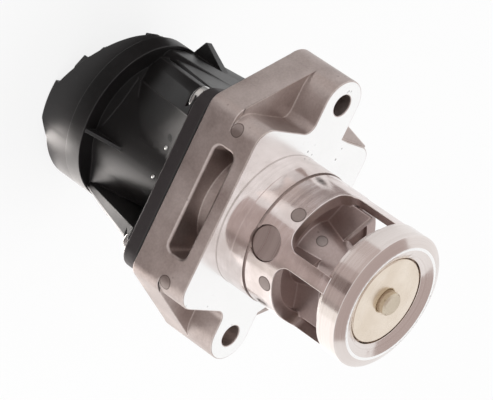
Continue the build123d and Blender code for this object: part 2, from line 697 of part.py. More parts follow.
with BuildPart() as rear_bearing:
    with BuildSketch(motor_plane.offset(CAN_REAR - 0.9)):
        Circle(4.0)
        Circle(SHAFT_R + RUNNING, mode=Mode.SUBTRACT)
    extrude(amount=2.6)
rear_bearing.part.label = "rear_bearing"
export_step(rear_bearing.part, "parts/rear_bearing.step")

with BuildPart() as motor_end_plate:
    with BuildSketch(motor_plane.offset(CAN_FRONT)):
        Circle(CAN_R)
    extrude(amount=PLATE_BACK - CAN_FRONT)
    with BuildSketch(motor_plane.offset(PLATE_BACK)):
        Circle(MOTOR_PILOT_R)
    extrude(amount=3.0)
    with BuildSketch(motor_plane.offset(CAN_FRONT)):
        Circle(5.0 + SEATED)
    extrude(amount=3.2, mode=Mode.SUBTRACT)
    with BuildSketch(motor_plane.offset(CAN_FRONT)):
        Circle(2.5)
    extrude(amount=6.0, mode=Mode.SUBTRACT)
    with BuildSketch(motor_plane.offset(PLATE_BACK)):
        with PolarLocations(8.5, 2, start_angle=90):
            Circle(1.3)
    extrude(amount=3.0, mode=Mode.SUBTRACT)
motor_end_plate.part.label = "motor_end_plate"
export_step(motor_end_plate.part, "parts/motor_end_plate.step")

with BuildPart() as front_bearing:
    with BuildSketch(motor_plane.offset(CAN_FRONT)):
        Circle(5.0)
        Circle(SHAFT_R + RUNNING, mode=Mode.SUBTRACT)
    extrude(amount=3.1)
front_bearing.part.label = "front_bearing"
export_step(front_bearing.part, "parts/front_bearing.step")

# ---------------------------------------------------------------- flange, gasket, screws
with BuildSketch() as plate_outline:
    with Locations(((PLATE_LEFT + PLATE_RIGHT) / 2, (FRONT_Y + BACK_Y) / 2)):
        RectangleRounded(PLATE_RIGHT - PLATE_LEFT, BACK_Y - FRONT_Y, PLATE_CORNER_R)

with BuildPart() as flange_gasket:
    with BuildSketch(Plane.XY.offset(CASTING_BACK - GASKET_THICK)):
        add(plate_outline.sketch)
        Circle(CHAMBER_GEAR_R + 0.6, mode=Mode.SUBTRACT)
        with Locations((idler_x, idler_y)):
            Circle(12.4, mode=Mode.SUBTRACT)
        with Locations((0, MOTOR_Y)):
            Circle(13.4, mode=Mode.SUBTRACT)
        with Locations(*screw_places):
            Circle(SCREW_R + 0.2, mode=Mode.SUBTRACT)
    extrude(amount=GASKET_THICK)
flange_gasket.part.label = "flange_gasket"
export_step(flange_gasket.part, "parts/flange_gasket.step")

plate_front = CASTING_BACK - GASKET_THICK
with BuildPart() as flange_plate:
    with BuildSketch(Plane.XY.offset(PLATE_BACK)):
        add(plate_outline.sketch)
    extrude(amount=plate_front - PLATE_BACK)
    chamfer(flange_plate.edges().group_by(Axis.Z)[0], 0.5)
    with BuildSketch(motor_plane.offset(PLATE_BACK)):
        Circle(MOTOR_PILOT_R + SEATED)
    extrude(amount=3.0, mode=Mode.SUBTRACT)
    with BuildSketch(motor_plane.offset(PLATE_BACK)):
        Circle(6.0)
    extrude(amount=10.0, mode=Mode.SUBTRACT)
    with BuildSketch(Plane.XY.offset(PLATE_BACK)):
        with Locations(*screw_places):
            Circle(SCREW_R + 0.2)
    extrude(amount=10.0, mode=Mode.SUBTRACT)
    with BuildSketch(idler_plane.offset(-23.0)):
        Circle(SHAFT_R + SEATED)
    extrude(amount=3.0, mode=Mode.SUBTRACT)
flange_plate.part.label = "flange_plate"
export_step(flange_plate.part, "parts/flange_plate.step")

with BuildPart() as sensor_board:
    with BuildSketch(Plane.XY.offset(plate_front)):
        with Locations((-4.0, -4.0)):
            RectangleRounded(14.0, 11.6, 1.0)
    extrude(amount=1.2)
    with BuildSketch(Plane.XY.offset(plate_front + 1.2)):
        Rectangle(4.0, 3.4)
    extrude(amount=1.0)
sensor_board.part.label = "sensor_board"
export_step(sensor_board.part, "parts/sensor_board.step")

with BuildPart() as cover_screws:
    for x, y in screw_places:
        with BuildSketch(Plane(origin=(x, y, PLATE_BACK))):
            Circle(SCREW_HEAD_R)
        extrude(amount=-SCREW_HEAD_HEIGHT)
        with BuildSketch(Plane(origin=(x, y, PLATE_BACK))):
            Circle(SCREW_R)
        extrude(amount=14.0)
    fillet(cover_screws.edges().filter_by(GeomType.CIRCLE).group_by(Axis.Z)[0], 1.2)
    for x, y in screw_places:
        with BuildSketch(Plane(origin=(x, y, PLATE_BACK - SCREW_HEAD_HEIGHT))):
            RegularPolygon(2.2, 6)
        extrude(amount=1.8, mode=Mode.SUBTRACT)
cover_screws.part.label = "cover_screws"
export_step(cover_screws.part, "parts/cover_screws.step")

# ---------------------------------------------------------------- motor cover and cap
with BuildPart() as motor_cover:
    with BuildSketch(motor_plane.offset(PLATE_BACK)):
        Circle(COVER_R + 1.6)
    extrude(amount=-2.0)
    with BuildSketch(motor_plane.offset(PLATE_BACK)):
        Circle(COVER_R)
    extrude(amount=RIM_FRONT - PLATE_BACK)
    # Flanks over the mounting ears, tapering towards the rim.
    with BuildSketch(motor_plane.offset(PLATE_BACK)):
        RectangleRounded(55.0, 18.0, 3.0)
    with BuildSketch(motor_plane.offset(RIM_FRONT)):
        RectangleRounded(51.0, 12.0, 3.0)
    loft()
    # Front corners, closing walls and the swell, each drawn up to the rim. The left corner is a broad
    # gusset with a groove behind it; the right one is a rib whose side runs back into the flank.
    for foot, foot_level, head in (
        (LEFT_CORNER_FOOT, PLATE_BACK, LEFT_CORNER_HEAD), (RIGHT_CORNER_FOOT, PLATE_BACK, RIGHT_CORNER_HEAD),
        (FRONT_WALL_FOOT, PLATE_BACK, FRONT_WALL_HEAD), (BACK_WALL_FOOT, PLATE_BACK, BACK_WALL_HEAD),
        (BODY_SWELL_FOOT, BODY_SWELL_Z, BODY_SWELL_HEAD)
    ):
        with BuildSketch(Plane.XY.offset(foot_level)):
            with BuildLine():
                Polyline(*foot, close=True)
            make_face()
        with BuildSketch(Plane.XY.offset(RIM_FRONT)):
            with BuildLine():
                Polyline(*head, close=True)
            make_face()
        loft(ruled=True)
    # Back corners: plain gussets.
    for side in (-1, 1):
        with BuildSketch(Plane.YZ.offset(side * GUSSET_INNER_X)):
            with BuildLine():
                Polyline(
                    (MOTOR_Y, PLATE_BACK), (BACK_Y - 0.8, PLATE_BACK), (BACK_Y - 0.8, PLATE_BACK - 2.5),
                    (GUSSET_BACK_HEAD_Y, RIM_FRONT), (MOTOR_Y, RIM_FRONT), close=True
                )
            make_face()
        extrude(amount=side * (GUSSET_OUTER_X - GUSSET_INNER_X))
    # Rim that carries the cap.
    with BuildSketch(motor_plane.offset(RIM_FRONT)):
        Circle(RIM_R)
    extrude(amount=CAP_SEAT - RIM_FRONT)
    # Channel behind the right rib, open to the side.
    with BuildSketch(Plane.YZ.offset(21.0)):
        with BuildLine():
            Polyline(*SCREW_CHANNEL, close=True)
        make_face()
    extrude(amount=10.0, mode=Mode.SUBTRACT)
    # Thin rib under the rim.
    with BuildSketch(Plane.YZ.offset(THIN_RIB_X)):
        with BuildLine():
            Polyline(
                (-17.8, RIM_FRONT), (-13.0, RIM_FRONT + 11.5), (-10, RIM_FRONT + 11.5),
                (-10, RIM_FRONT), close=True
            )
        make_face()
    extrude(amount=THIN_RIB)
    # Fin beside the left flank.
    with BuildSketch(Plane.XZ.offset(-FIN_Y)):
        with BuildLine():
            Polyline(*FIN_OUTLINE, close=True)
        make_face()
    extrude(amount=-FIN_THICK)
    # Clearance round the screw heads, open towards the sides, and at the back towards the corner.
    with BuildSketch(Plane.XY.offset(PLATE_BACK)):
        for x, y in screw_places:
            with Locations((x, y)):
                Circle(SCREW_HEAD_R + 0.4)
            with Locations((x + copysign(6.5, x), y)):
                Rectangle(10.0, 9.8)
            if y > 0:
                with Locations((x, y + 5.0), (x + copysign(5.0, x), y + 5.0)):
                    Rectangle(10.0, 10.0)
    extrude(amount=-SCREW_POCKET, mode=Mode.SUBTRACT)
    # Motor space.
    with BuildSketch(motor_plane.offset(PLATE_BACK)):
        Circle(COVER_R - COVER_WALL)
    extrude(amount=CAP_SEAT - PLATE_BACK, mode=Mode.SUBTRACT)
motor_cover.part.label = "motor_cover"
export_step(motor_cover.part, "parts/motor_cover.step")

with BuildPart() as end_cap:
    with BuildSketch(motor_plane.offset(CAP_SEAT)):
        with Locations(CAP_OFFSET):
            Circle(CAP_R)
    extrude(amount=CAP_END - CAP_SEAT)
    fillet(end_cap.edges().group_by(Axis.Z)[0], 1.0)
    # The end steps down and falls away towards one ear, and falls a little towards the other.
    with BuildSketch(Plane.XZ.offset(-60)):
        with BuildLine():
            Polyline(
                (CAP_FLAT_X, CAP_END - 5), (CAP_FLAT_X, CAP_END + CAP_STEP),
                (-40, CAP_END + CAP_STEP + CAP_SLOPE * (40 + CAP_FLAT_X)), (-40, CAP_END - 5), close=True
            )
        make_face()
        with BuildLine():
            Polyline(
                (CAP_FALL_X, CAP_END), (CAP_FALL_X + 6, CAP_END + CAP_FALL), (40, CAP_END + CAP_FALL + 0.8),
                (40, CAP_END - 5), (CAP_FALL_X, CAP_END - 5), close=True
            )
        make_face()
    extrude(amount=120, mode=Mode.SUBTRACT)
    # Ribs that stand up from the slope at its edge.
    for turn, width, top in CAP_RIBS:
        with BuildSketch(motor_plane.offset(CAP_SEAT)):
            with Locations(Pos(*CAP_OFFSET) * Rotation(0, 0, turn) * Pos(CAP_R - 3.9, 0)):
                Rectangle(7.0, width)
        extrude(amount=top - CAP_SEAT)
    # Spigot and hollow.
    with BuildSketch(motor_plane.offset(CAP_SEAT)):
        Circle(COVER_R - COVER_WALL - SEATED)
    extrude(amount=1.5)
    with BuildSketch(motor_plane.offset(CAP_SEAT - 1.5)):
        Circle(COVER_R - COVER_WALL - 1.5)
    extrude(amount=3.0, mode=Mode.SUBTRACT)
end_cap.part.label = "end_cap"
export_step(end_cap.part, "parts/end_cap.step")

# ---------------------------------------------------------------- connector on the hidden side
with BuildPart() as connector_socket:
    with BuildSketch(Plane.XZ.offset(-CONNECTOR_MOUTH_Y)):
        with Locations((CONNECTOR_X, CONNECTOR_Z)):
            RectangleRounded(22.0, 13.0, 2.0)
    extrude(amount=CONNECTOR_MOUTH_Y - 20.0)
    with BuildSketch(Plane.XZ.offset(-CONNECTOR_MOUTH_Y)):
        with Locations((CONNECTOR_X, CONNECTOR_Z)):
            RectangleRounded(18.8, 9.8, 1.2)
    extrude(amount=9.5, mode=Mode.SUBTRACT)
    with BuildSketch(Plane.XZ.offset(-CONNECTOR_MOUTH_Y)):
        with Locations((CONNECTOR_X, CONNECTOR_Z + 7.2)):
            Rectangle(6.0, 1.6)
    extrude(amount=4.0)
    # It seats on the round cover; its floor has a slot for each pin.
    add(motor_cover.part, mode=Mode.SUBTRACT)
    with BuildSketch(motor_plane.offset(RIM_FRONT)):
        Circle(COVER_R)
    extrude(amount=40, mode=Mode.SUBTRACT)
    with BuildSketch(Plane.XZ.offset(-CONNECTOR_MOUTH_Y)):
        with Locations((CONNECTOR_X, CONNECTOR_Z)):
            with GridLocations(3.2, 0, 5, 1):
                Rectangle(0.8, 1.6)
    extrude(amount=20.0, mode=Mode.SUBTRACT)
connector_socket.part.label = "connector_socket"
export_step(connector_socket.part, "parts/connector_socket.step")

with BuildPart() as connector_pins:
    with BuildSketch(Plane.XZ.offset(-MOTOR_Y - COVER_R - 0.2)):
        with Locations((CONNECTOR_X, CONNECTOR_Z)):
            with GridLocations(3.2, 0, 5, 1):
                Rectangle(0.8, 1.6)
    extrude(amount=-6.0)
connector_pins.part.label = "connector_pins"
export_step(connector_pins.part, "parts/connector_pins.step")
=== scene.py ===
# %% [markdown]
# # A motor-driven EGR valve
# An exhaust gas recirculation valve feeds a little exhaust back into an engine's intake. Its solids
# already exist and carry the motion, so this lesson gives them their looks: rounded edges, cast,
# turned and moulded finishes, the small marks that casting and machining leave behind, and a plain
# studio around it. All lengths are in metres, and +Z runs along the valve axis towards the poppet.

# %% Load the frame
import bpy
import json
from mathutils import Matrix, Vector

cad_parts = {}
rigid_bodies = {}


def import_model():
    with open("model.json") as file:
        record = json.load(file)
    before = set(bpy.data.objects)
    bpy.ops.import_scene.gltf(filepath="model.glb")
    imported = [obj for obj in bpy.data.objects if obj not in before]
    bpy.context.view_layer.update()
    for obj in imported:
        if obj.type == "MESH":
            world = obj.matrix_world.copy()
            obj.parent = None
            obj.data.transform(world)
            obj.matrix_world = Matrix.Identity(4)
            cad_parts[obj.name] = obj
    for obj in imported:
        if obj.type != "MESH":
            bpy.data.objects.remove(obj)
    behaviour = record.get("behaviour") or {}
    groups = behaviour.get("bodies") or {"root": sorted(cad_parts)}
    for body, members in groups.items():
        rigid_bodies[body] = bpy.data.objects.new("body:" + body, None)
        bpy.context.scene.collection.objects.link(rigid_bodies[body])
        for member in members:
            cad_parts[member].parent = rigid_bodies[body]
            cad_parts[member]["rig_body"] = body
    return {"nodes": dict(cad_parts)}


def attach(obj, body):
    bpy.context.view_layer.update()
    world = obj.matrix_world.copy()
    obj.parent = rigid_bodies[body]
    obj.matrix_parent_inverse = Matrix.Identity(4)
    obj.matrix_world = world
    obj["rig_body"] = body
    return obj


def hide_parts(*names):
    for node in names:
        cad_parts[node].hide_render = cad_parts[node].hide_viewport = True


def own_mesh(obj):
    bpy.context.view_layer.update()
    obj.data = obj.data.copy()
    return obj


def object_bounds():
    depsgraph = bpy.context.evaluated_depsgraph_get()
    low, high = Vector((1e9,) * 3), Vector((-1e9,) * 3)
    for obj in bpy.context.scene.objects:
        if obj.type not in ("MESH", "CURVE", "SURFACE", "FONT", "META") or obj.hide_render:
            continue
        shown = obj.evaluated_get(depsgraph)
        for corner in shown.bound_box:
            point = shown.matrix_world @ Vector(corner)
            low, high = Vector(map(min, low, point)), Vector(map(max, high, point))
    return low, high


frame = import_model()
import json
import math

import bmesh
import bpy
from mathutils import Matrix, Vector
from mathutils.bvhtree import BVHTree

cad_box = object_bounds()
nodes = frame["nodes"]
body_of_node = {n: o["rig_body"] for n, o in nodes.items()}
slot_of_node = {n: o.data.materials[0].name for n, o in nodes.items()}
MM = 0.001
WELD = 1e-7

# %% [markdown]
# ## Shader groups
# Several finishes of the valve share an effect: the casting and its gas chamber have the same
# skin, and everything that came off a lathe has the same fine rings. Such an effect could be drawn
# again in every material, but then a correction would have to be made many times. So each is built
# once as a node group that only puts out values, and each material wires them into its own
# Principled shader. Every pattern starts from Object coordinates, so it is fixed to the piece and
# has a true size.


# %% Helpers for node trees
def new_group(name, inputs, outputs):
    """An empty shader group. inputs gives each number its usual value, outputs names the results."""
    group = bpy.data.node_groups.new(name, "ShaderNodeTree")
    for label, usual in inputs.items():
        socket = group.interface.new_socket(label, in_out="INPUT", socket_type="NodeSocketFloat")
        socket.default_value = usual
    for label in outputs:
        group.interface.new_socket(label, in_out="OUTPUT", socket_type="NodeSocketFloat")
    return group, group.nodes.new("NodeGroupInput"), group.nodes.new("NodeGroupOutput")


def add(tree, kind, links=None, **values):
    """Adds a node. values sets attributes or input sockets; links wires input sockets."""
    node = tree.nodes.new(kind)
    for key, value in values.items():
        if hasattr(node, key):
            setattr(node, key, value)
        else:
            node.inputs[key.replace("_", " ")].default_value = value
    for key, source in (links or {}).items():
        tree.links.new(source, node.inputs[key])
    return node


def put_out(tree, gout, **results):
    """Wires each result to the group's output of that name."""
    for label, source in results.items():
        tree.links.new(source, gout.inputs[label])


print("helpers for node trees ready")


# %% Helpers for values and patterns
def calc(tree, operation, a, b, clamp=False):
    """One Math node; a and b are sockets or numbers."""
    node = add(tree, "ShaderNodeMath", operation=operation, use_clamp=clamp)
    for socket, value in zip(node.inputs, (a, b)):
        if isinstance(value, (int, float)):
            socket.default_value = value
        else:
            tree.links.new(value, socket)
    return node.outputs[0]


def spread(tree, source, low, high, out_low=0.0, out_high=1.0):
    """Maps a value from low..high to out_low..out_high, clamped."""
    node = add(tree, "ShaderNodeMapRange", {"Value": source}, From_Min=low, From_Max=high,
               To_Min=out_low, To_Max=out_high)
    return node.outputs["Result"]


def mixed(tree, one, two, share):
    """That share of the first value, and the rest from the second."""
    return calc(tree, "ADD", calc(tree, "MULTIPLY", one, share), calc(tree, "MULTIPLY", two, 1 - share))


def noise(tree, where, per_metre, detail, **values):
    """A soft noise over the piece, with so many grains to the metre."""
    node = add(tree, "ShaderNodeTexNoise", {"Vector": where}, Scale=per_metre, Detail=detail, **values)
    return node.outputs["Fac"]


# Where a noise's values mostly lie, and a tighter span for more contrast.
SPAN, TIGHT_SPAN = (0.3, 0.7), (0.35, 0.65)
print("helpers for patterns ready")

# %% [markdown]
# ### Cast skin
# Molten aluminium freezes against a sprayed steel die. The skin that this leaves is faintly
# pebbled, mottled where the die spray dried, and dotted with small dark stains. An image
# would need unwrapping round every rib. Procedural noises cost nothing to lay out: two of them
# give the pebbles and the mottling, and the centres of a cell pattern give the stains.

# %% Group: cast skin
PEBBLES_PER_M, SAND_PER_M, CLOUDS_PER_M, STAINS_PER_M = 1500.0, 5200.0, 95.0, 330.0
SAND_HEIGHT, PEBBLE_SHARE = 0.45, 0.35 / 1.35
DOT_RIM, STAINED_CLOUDS = (0.05, 0.17), (0.55, 0.62)
cast_skin, gin, gout = new_group("cast skin", {"Grain": 1.0, "Stains": 1.0}, ("Height", "Tone", "Stain"))
where = add(cast_skin, "ShaderNodeTexCoord").outputs["Object"]
pebbles = noise(cast_skin, where, PEBBLES_PER_M, detail=3.0)
sand = noise(cast_skin, where, SAND_PER_M, detail=2.0)
cloud = noise(cast_skin, where, CLOUDS_PER_M, detail=5.0)
cells = add(cast_skin, "ShaderNodeTexVoronoi", {"Vector": where}, Scale=STAINS_PER_M)
grains = calc(cast_skin, "ADD", pebbles, calc(cast_skin, "MULTIPLY", sand, SAND_HEIGHT))
dots = spread(cast_skin, cells.outputs["Distance"], *DOT_RIM, out_low=1.0, out_high=0.0)
in_clouds = calc(cast_skin, "MULTIPLY", dots, spread(cast_skin, cloud, *STAINED_CLOUDS))
put_out(
    cast_skin, gout,
    Height=calc(cast_skin, "MULTIPLY", grains, gin.outputs["Grain"]),
    Tone=mixed(cast_skin, spread(cast_skin, pebbles, *TIGHT_SPAN), spread(cast_skin, cloud, *SPAN),
               PEBBLE_SHARE),
    Stain=calc(cast_skin, "MULTIPLY", in_clouds, gin.outputs["Stains"]),
)
print("cast skin group:", len(cast_skin.nodes), "nodes")

# %% [markdown]
# ### Turned marks
# A lathe tool leaves a fine thread of grooves on the nose, the seat ring and the poppet. On a
# cylinder they follow the height, on a face the radius. A separate pattern for each would show a
# seam where they meet, so one noise runs along the sum of the two. Slow bands of polish and dirt
# lie over it.

# %% Group: turned marks
GROOVES_PER_M, BANDS_PER_M, SMEARS_PER_M = 9000.0, 700.0, 120.0
GROOVE_SHARE = 0.4
turned_marks, gin, gout = new_group("turned marks", {"Pitch": 1.0}, ("Height", "Tone", "Smear"))
where = add(turned_marks, "ShaderNodeTexCoord").outputs["Object"]
axes = add(turned_marks, "ShaderNodeSeparateXYZ", {"Vector": where})
flat = add(turned_marks, "ShaderNodeCombineXYZ", {"X": axes.outputs["X"], "Y": axes.outputs["Y"]})
radius = add(turned_marks, "ShaderNodeVectorMath", {0: flat.outputs[0]}, operation="LENGTH")
along = calc(turned_marks, "ADD", axes.outputs["Z"], radius.outputs["Value"])
pitch = calc(turned_marks, "MULTIPLY", along, gin.outputs["Pitch"])
fine, bands = (
    add(turned_marks, "ShaderNodeTexNoise", {"W": pitch}, noise_dimensions="1D", Scale=per_metre,
        Detail=detail).outputs["Fac"]
    for per_metre, detail in ((GROOVES_PER_M, 2.0), (BANDS_PER_M, 3.0))
)
smear = noise(turned_marks, where, SMEARS_PER_M, detail=4.0)
put_out(
    turned_marks, gout,
    Height=fine,
    Tone=mixed(turned_marks, spread(turned_marks, fine, *SPAN), spread(turned_marks, bands, *SPAN),
               GROOVE_SHARE),
    Smear=spread(turned_marks, smear, *TIGHT_SPAN),
)
print("turned marks group:", len(turned_marks.nodes), "nodes")

# %% [markdown]
# ### Moulded skin
# The cover and the cap are black glass-filled nylon. Its surface is finely etched, and slightly
# cloudy where the fibres come up. A plain black shader would look like wet paint, so a fine noise
# breaks up the sheen, and a stretched one brings out the fibres.

# %% Group: moulded skin
ETCH_PER_M, HAZE_PER_M, FIBRES_PER_M = 3600.0, 70.0, 900.0
HAZE_SHARE, FIBRE_TWIST, DUSTY_FIBRES = 0.6, 1.5, (0.66, 0.8)
moulded_skin, gin, gout = new_group("moulded skin", {"Grain": 1.0}, ("Height", "Tone", "Dust"))
where = add(moulded_skin, "ShaderNodeTexCoord").outputs["Object"]
etch = noise(moulded_skin, where, ETCH_PER_M, detail=3.0)
haze = noise(moulded_skin, where, HAZE_PER_M, detail=5.0)
fibres = noise(moulded_skin, where, FIBRES_PER_M, detail=4.0, Distortion=FIBRE_TWIST)
put_out(
    moulded_skin, gout,
    Height=calc(moulded_skin, "MULTIPLY", etch, gin.outputs["Grain"]),
    Tone=mixed(moulded_skin, spread(moulded_skin, haze, *SPAN), spread(moulded_skin, fibres, *SPAN),
               HAZE_SHARE),
    Dust=spread(moulded_skin, fibres, *DUSTY_FIBRES),
)
print("moulded skin group:", len(moulded_skin.nodes), "nodes")

# %% [markdown]
# ## Finishes
# Each finish is one material. `finish` wires a group's outputs into a Principled shader: the tone
# picks a colour between two shades, stains or dust lie over it, bevelled edges are painted lighter,
# partly as rubbed metal and partly as a painted highlight, and the height goes through a Bump node.
# Values that are the same all over sit on the shader itself.

# %% A helper for finishes
METAL, PLASTIC = 1.0, 0.0
# How strongly bevelled edges are painted lighter, partly rubbed and partly a painted highlight.
LEAST_EDGE_PAINT, EDGE_PAINT_WITH_TONE = 0.15, 0.7


def over(tree, amount, under, colour):
    """Lays a plain colour over another one, or over a socket, as much as the amount says."""
    node = add(tree, "ShaderNodeMix", {0: amount}, data_type="RGBA")
    for socket, value in ((node.inputs[6], under), (node.inputs[7], colour)):
        if isinstance(value, tuple):
            socket.default_value = (*value, 1)
        else:
            tree.links.new(value, socket)
    return node.outputs[2]


def finish(name, group, metallic, dark, light, rough, bump, relief=0.02 * MM, stain=None,
           stain_out="Stain", worn_and_lit_edge=None, inputs=None, **shader):
    """A material whose colour runs from dark to light, and its roughness with it, with the group's tone."""
    material = bpy.data.materials.new(name)
    material.use_nodes = True
    tree = material.node_tree
    surface = tree.nodes["Principled BSDF"]
    skin = tree.nodes.new("ShaderNodeGroup")
    skin.node_tree = group
    for key, value in (inputs or {}).items():
        skin.inputs[key].default_value = value
    tone = skin.outputs["Tone"]
    colour = over(tree, tone, dark, light)
    if stain:
        colour = over(tree, skin.outputs[stain_out], colour, stain)
    # Bevelled edges are painted lighter: partly rubbed metal, partly a painted highlight along the edge.
    if worn_and_lit_edge:
        edge = add(tree, "ShaderNodeAttribute", attribute_name="edge").outputs["Fac"]
        edge_wear_and_light = calc(tree, "ADD", calc(tree, "MULTIPLY", tone, EDGE_PAINT_WITH_TONE), LEAST_EDGE_PAINT)
        colour = over(tree, calc(tree, "MULTIPLY", edge, edge_wear_and_light, clamp=True), colour, worn_and_lit_edge)
    tree.links.new(colour, surface.inputs["Base Color"])
    tree.links.new(spread(tree, tone, 0.0, 1.0, *rough), surface.inputs["Roughness"])
    height = add(tree, "ShaderNodeBump", {"Height": skin.outputs["Height"]}, Strength=bump, Distance=relief)
    tree.links.new(height.outputs["Normal"], surface.inputs["Normal"])
    surface.inputs["Metallic"].default_value = metallic
    for key, value in shader.items():
        surface.inputs[key.replace("_", " ")].default_value = value
    return material


finishes = {}
print("helper for finishes ready")

# %% [markdown]
# ### Cast and milled aluminium
# The housing is one casting, but it isn't one colour. Its outside is dull, the gas chamber is painted
# darker as shade inside the hollow, and the ejector pins pressed smoother, darker rounds into it. The
# mounting face was milled and is almost white. One material with painted masks could hold all of
# these; separate materials are easier to read, and each face simply points to its own.

# %% Finishes of the casting
finishes["cast_aluminium"] = finish(
    "cast aluminium", cast_skin, METAL,
    dark=(0.39, 0.325, 0.305), light=(0.62, 0.545, 0.52), rough=(0.36, 0.52), bump=0.85,
    stain=(0.27, 0.215, 0.2), worn_and_lit_edge=(0.74, 0.67, 0.64), inputs={"Stains": 0.6})
# The gas chamber's finish is darker than the outside: painted shade of the hollow inside the nose.
finishes["shaded_chamber_aluminium"] = finish(
    "shaded cast gas chamber", cast_skin, METAL,
    dark=(0.36, 0.28, 0.262), light=(0.54, 0.44, 0.42), rough=(0.34, 0.48), bump=0.5,
    stain=(0.2, 0.15, 0.14), worn_and_lit_edge=(0.68, 0.59, 0.57), inputs={"Stains": 0.6})
finishes["crease"] = finish(
    "mark outline", cast_skin, METAL,
    dark=(0.16, 0.125, 0.115), light=(0.24, 0.195, 0.18), rough=(0.45, 0.55), bump=0.2)
finishes["pin_face"] = finish(
    "ejector pin face", cast_skin, METAL,
    dark=(0.26, 0.215, 0.2), light=(0.36, 0.305, 0.29), rough=(0.32, 0.42), bump=0.25,
    inputs={"Stains": 0.3})
finishes["milled_aluminium"] = finish(
    "milled aluminium", cast_skin, METAL,
    dark=(0.93, 0.925, 0.92), light=(0.97, 0.967, 0.965), rough=(0.18, 0.26), bump=0.05,
    stain=(0.3, 0.29, 0.28), inputs={"Grain": 0.3, "Stains": 0.9})
print(len(finishes), "finishes for the casting")

# %% [markdown]
# ### Turned metal
# The nose, the seat ring and the poppet come off a lathe, and hot gas has tinted the poppet and
# its stem yellow. They are nearly mirrors, so what sets them apart is less their colour than how
# blurred their reflections are: the ring is the smoothest and the plug the dullest.

# %% Finishes of the turned pieces
TURNED_RELIEF = 0.003 * MM
finishes["turned_aluminium"] = finish(
    "turned aluminium", turned_marks, METAL,
    dark=(0.78, 0.695, 0.675), light=(0.90, 0.83, 0.815), rough=(0.14, 0.22), bump=0.1,
    stain=(0.67, 0.59, 0.565), stain_out="Smear", relief=TURNED_RELIEF)
finishes["plug_steel"] = finish(
    "nose plug", turned_marks, METAL,
    dark=(0.40, 0.335, 0.32), light=(0.50, 0.43, 0.41), rough=(0.26, 0.36), bump=0.1,
    relief=TURNED_RELIEF, inputs={"Pitch": 0.5})
finishes["turned_steel"] = finish(
    "turned seat ring", turned_marks, METAL,
    dark=(0.70, 0.63, 0.60), light=(0.82, 0.765, 0.74), rough=(0.12, 0.2), bump=0.08,
    relief=TURNED_RELIEF)
finishes["poppet_steel"] = finish(
    "heat tinted poppet", turned_marks, METAL,
    dark=(0.82, 0.725, 0.62), light=(0.885, 0.80, 0.70), rough=(0.2, 0.28), bump=0.12,
    stain=(0.77, 0.67, 0.56), stain_out="Smear", relief=TURNED_RELIEF, inputs={"Pitch": 0.6})
finishes["stem_steel"] = finish(
    "stem steel", cast_skin, METAL,
    dark=(0.50, 0.42, 0.32), light=(0.72, 0.64, 0.52), rough=(0.25, 0.38), bump=0.1,
    stain=(0.3, 0.24, 0.17), inputs={"Grain": 0.4, "Stains": 0.6})
print(len(finishes), "finishes with the turned ones")

# %% [markdown]
# ### Black mouldings, rubber and screws
# Black plastic is never quite black: its base colour is about one hundredth, and its sheen does
# the rest. The flange plate is rougher and greyer than the cover and the cap. The screws are
# zinc plated, and the seal is matt rubber.

# %% Finishes of the mouldings, the seal and the screws
# Black bevelled edges are painted lighter too: partly rubbed, partly a painted highlight.
DUST, WORN_AND_LIT_BLACK = (0.035, 0.032, 0.032), (0.05, 0.046, 0.046)
finishes["black_plastic"] = finish(
    "moulded black cover", moulded_skin, PLASTIC,
    dark=(0.007, 0.006, 0.006), light=(0.014, 0.012, 0.012), rough=(0.36, 0.46), bump=0.3, stain=DUST,
    stain_out="Dust", worn_and_lit_edge=WORN_AND_LIT_BLACK, relief=0.01 * MM, Specular_IOR_Level=0.45)
finishes["cap_plastic"] = finish(
    "moulded black cap", moulded_skin, PLASTIC,
    dark=(0.008, 0.0065, 0.0065), light=(0.016, 0.0135, 0.0135), rough=(0.4, 0.5), bump=0.35,
    stain=DUST, stain_out="Dust", worn_and_lit_edge=WORN_AND_LIT_BLACK, relief=0.01 * MM, Specular_IOR_Level=0.45)
finishes["plate_plastic"] = finish(
    "black flange plate", moulded_skin, PLASTIC,
    dark=(0.020, 0.015, 0.016), light=(0.036, 0.028, 0.029), rough=(0.46, 0.56), bump=0.45,
    stain=(0.07, 0.06, 0.06), stain_out="Dust", worn_and_lit_edge=(0.07, 0.06, 0.06), relief=0.012 * MM,
    Specular_IOR_Level=0.4)
finishes["seal_black"] = finish(
    "rubber", moulded_skin, PLASTIC,
    dark=(0.012, 0.012, 0.012), light=(0.024, 0.023, 0.022), rough=(0.6, 0.72), bump=0.4)
finishes["screw_steel"] = finish(
    "plated screws", cast_skin, METAL,
    dark=(0.80, 0.79, 0.77), light=(0.92, 0.91, 0.89), rough=(0.24, 0.34), bump=0.1,
    stain=(0.5, 0.47, 0.43), inputs={"Grain": 0.3, "Stains": 0.5})
print(len(finishes), "outside finishes")

# %% [markdown]
# ### The pieces inside
# The mechanism is closed off by the cover, but a finish for each piece keeps the model whole when
# it is taken apart: bronze, spring steel, magnets, copper, nylon gears and a green board. They
# differ only in a few values, so a table and a loop make them all.

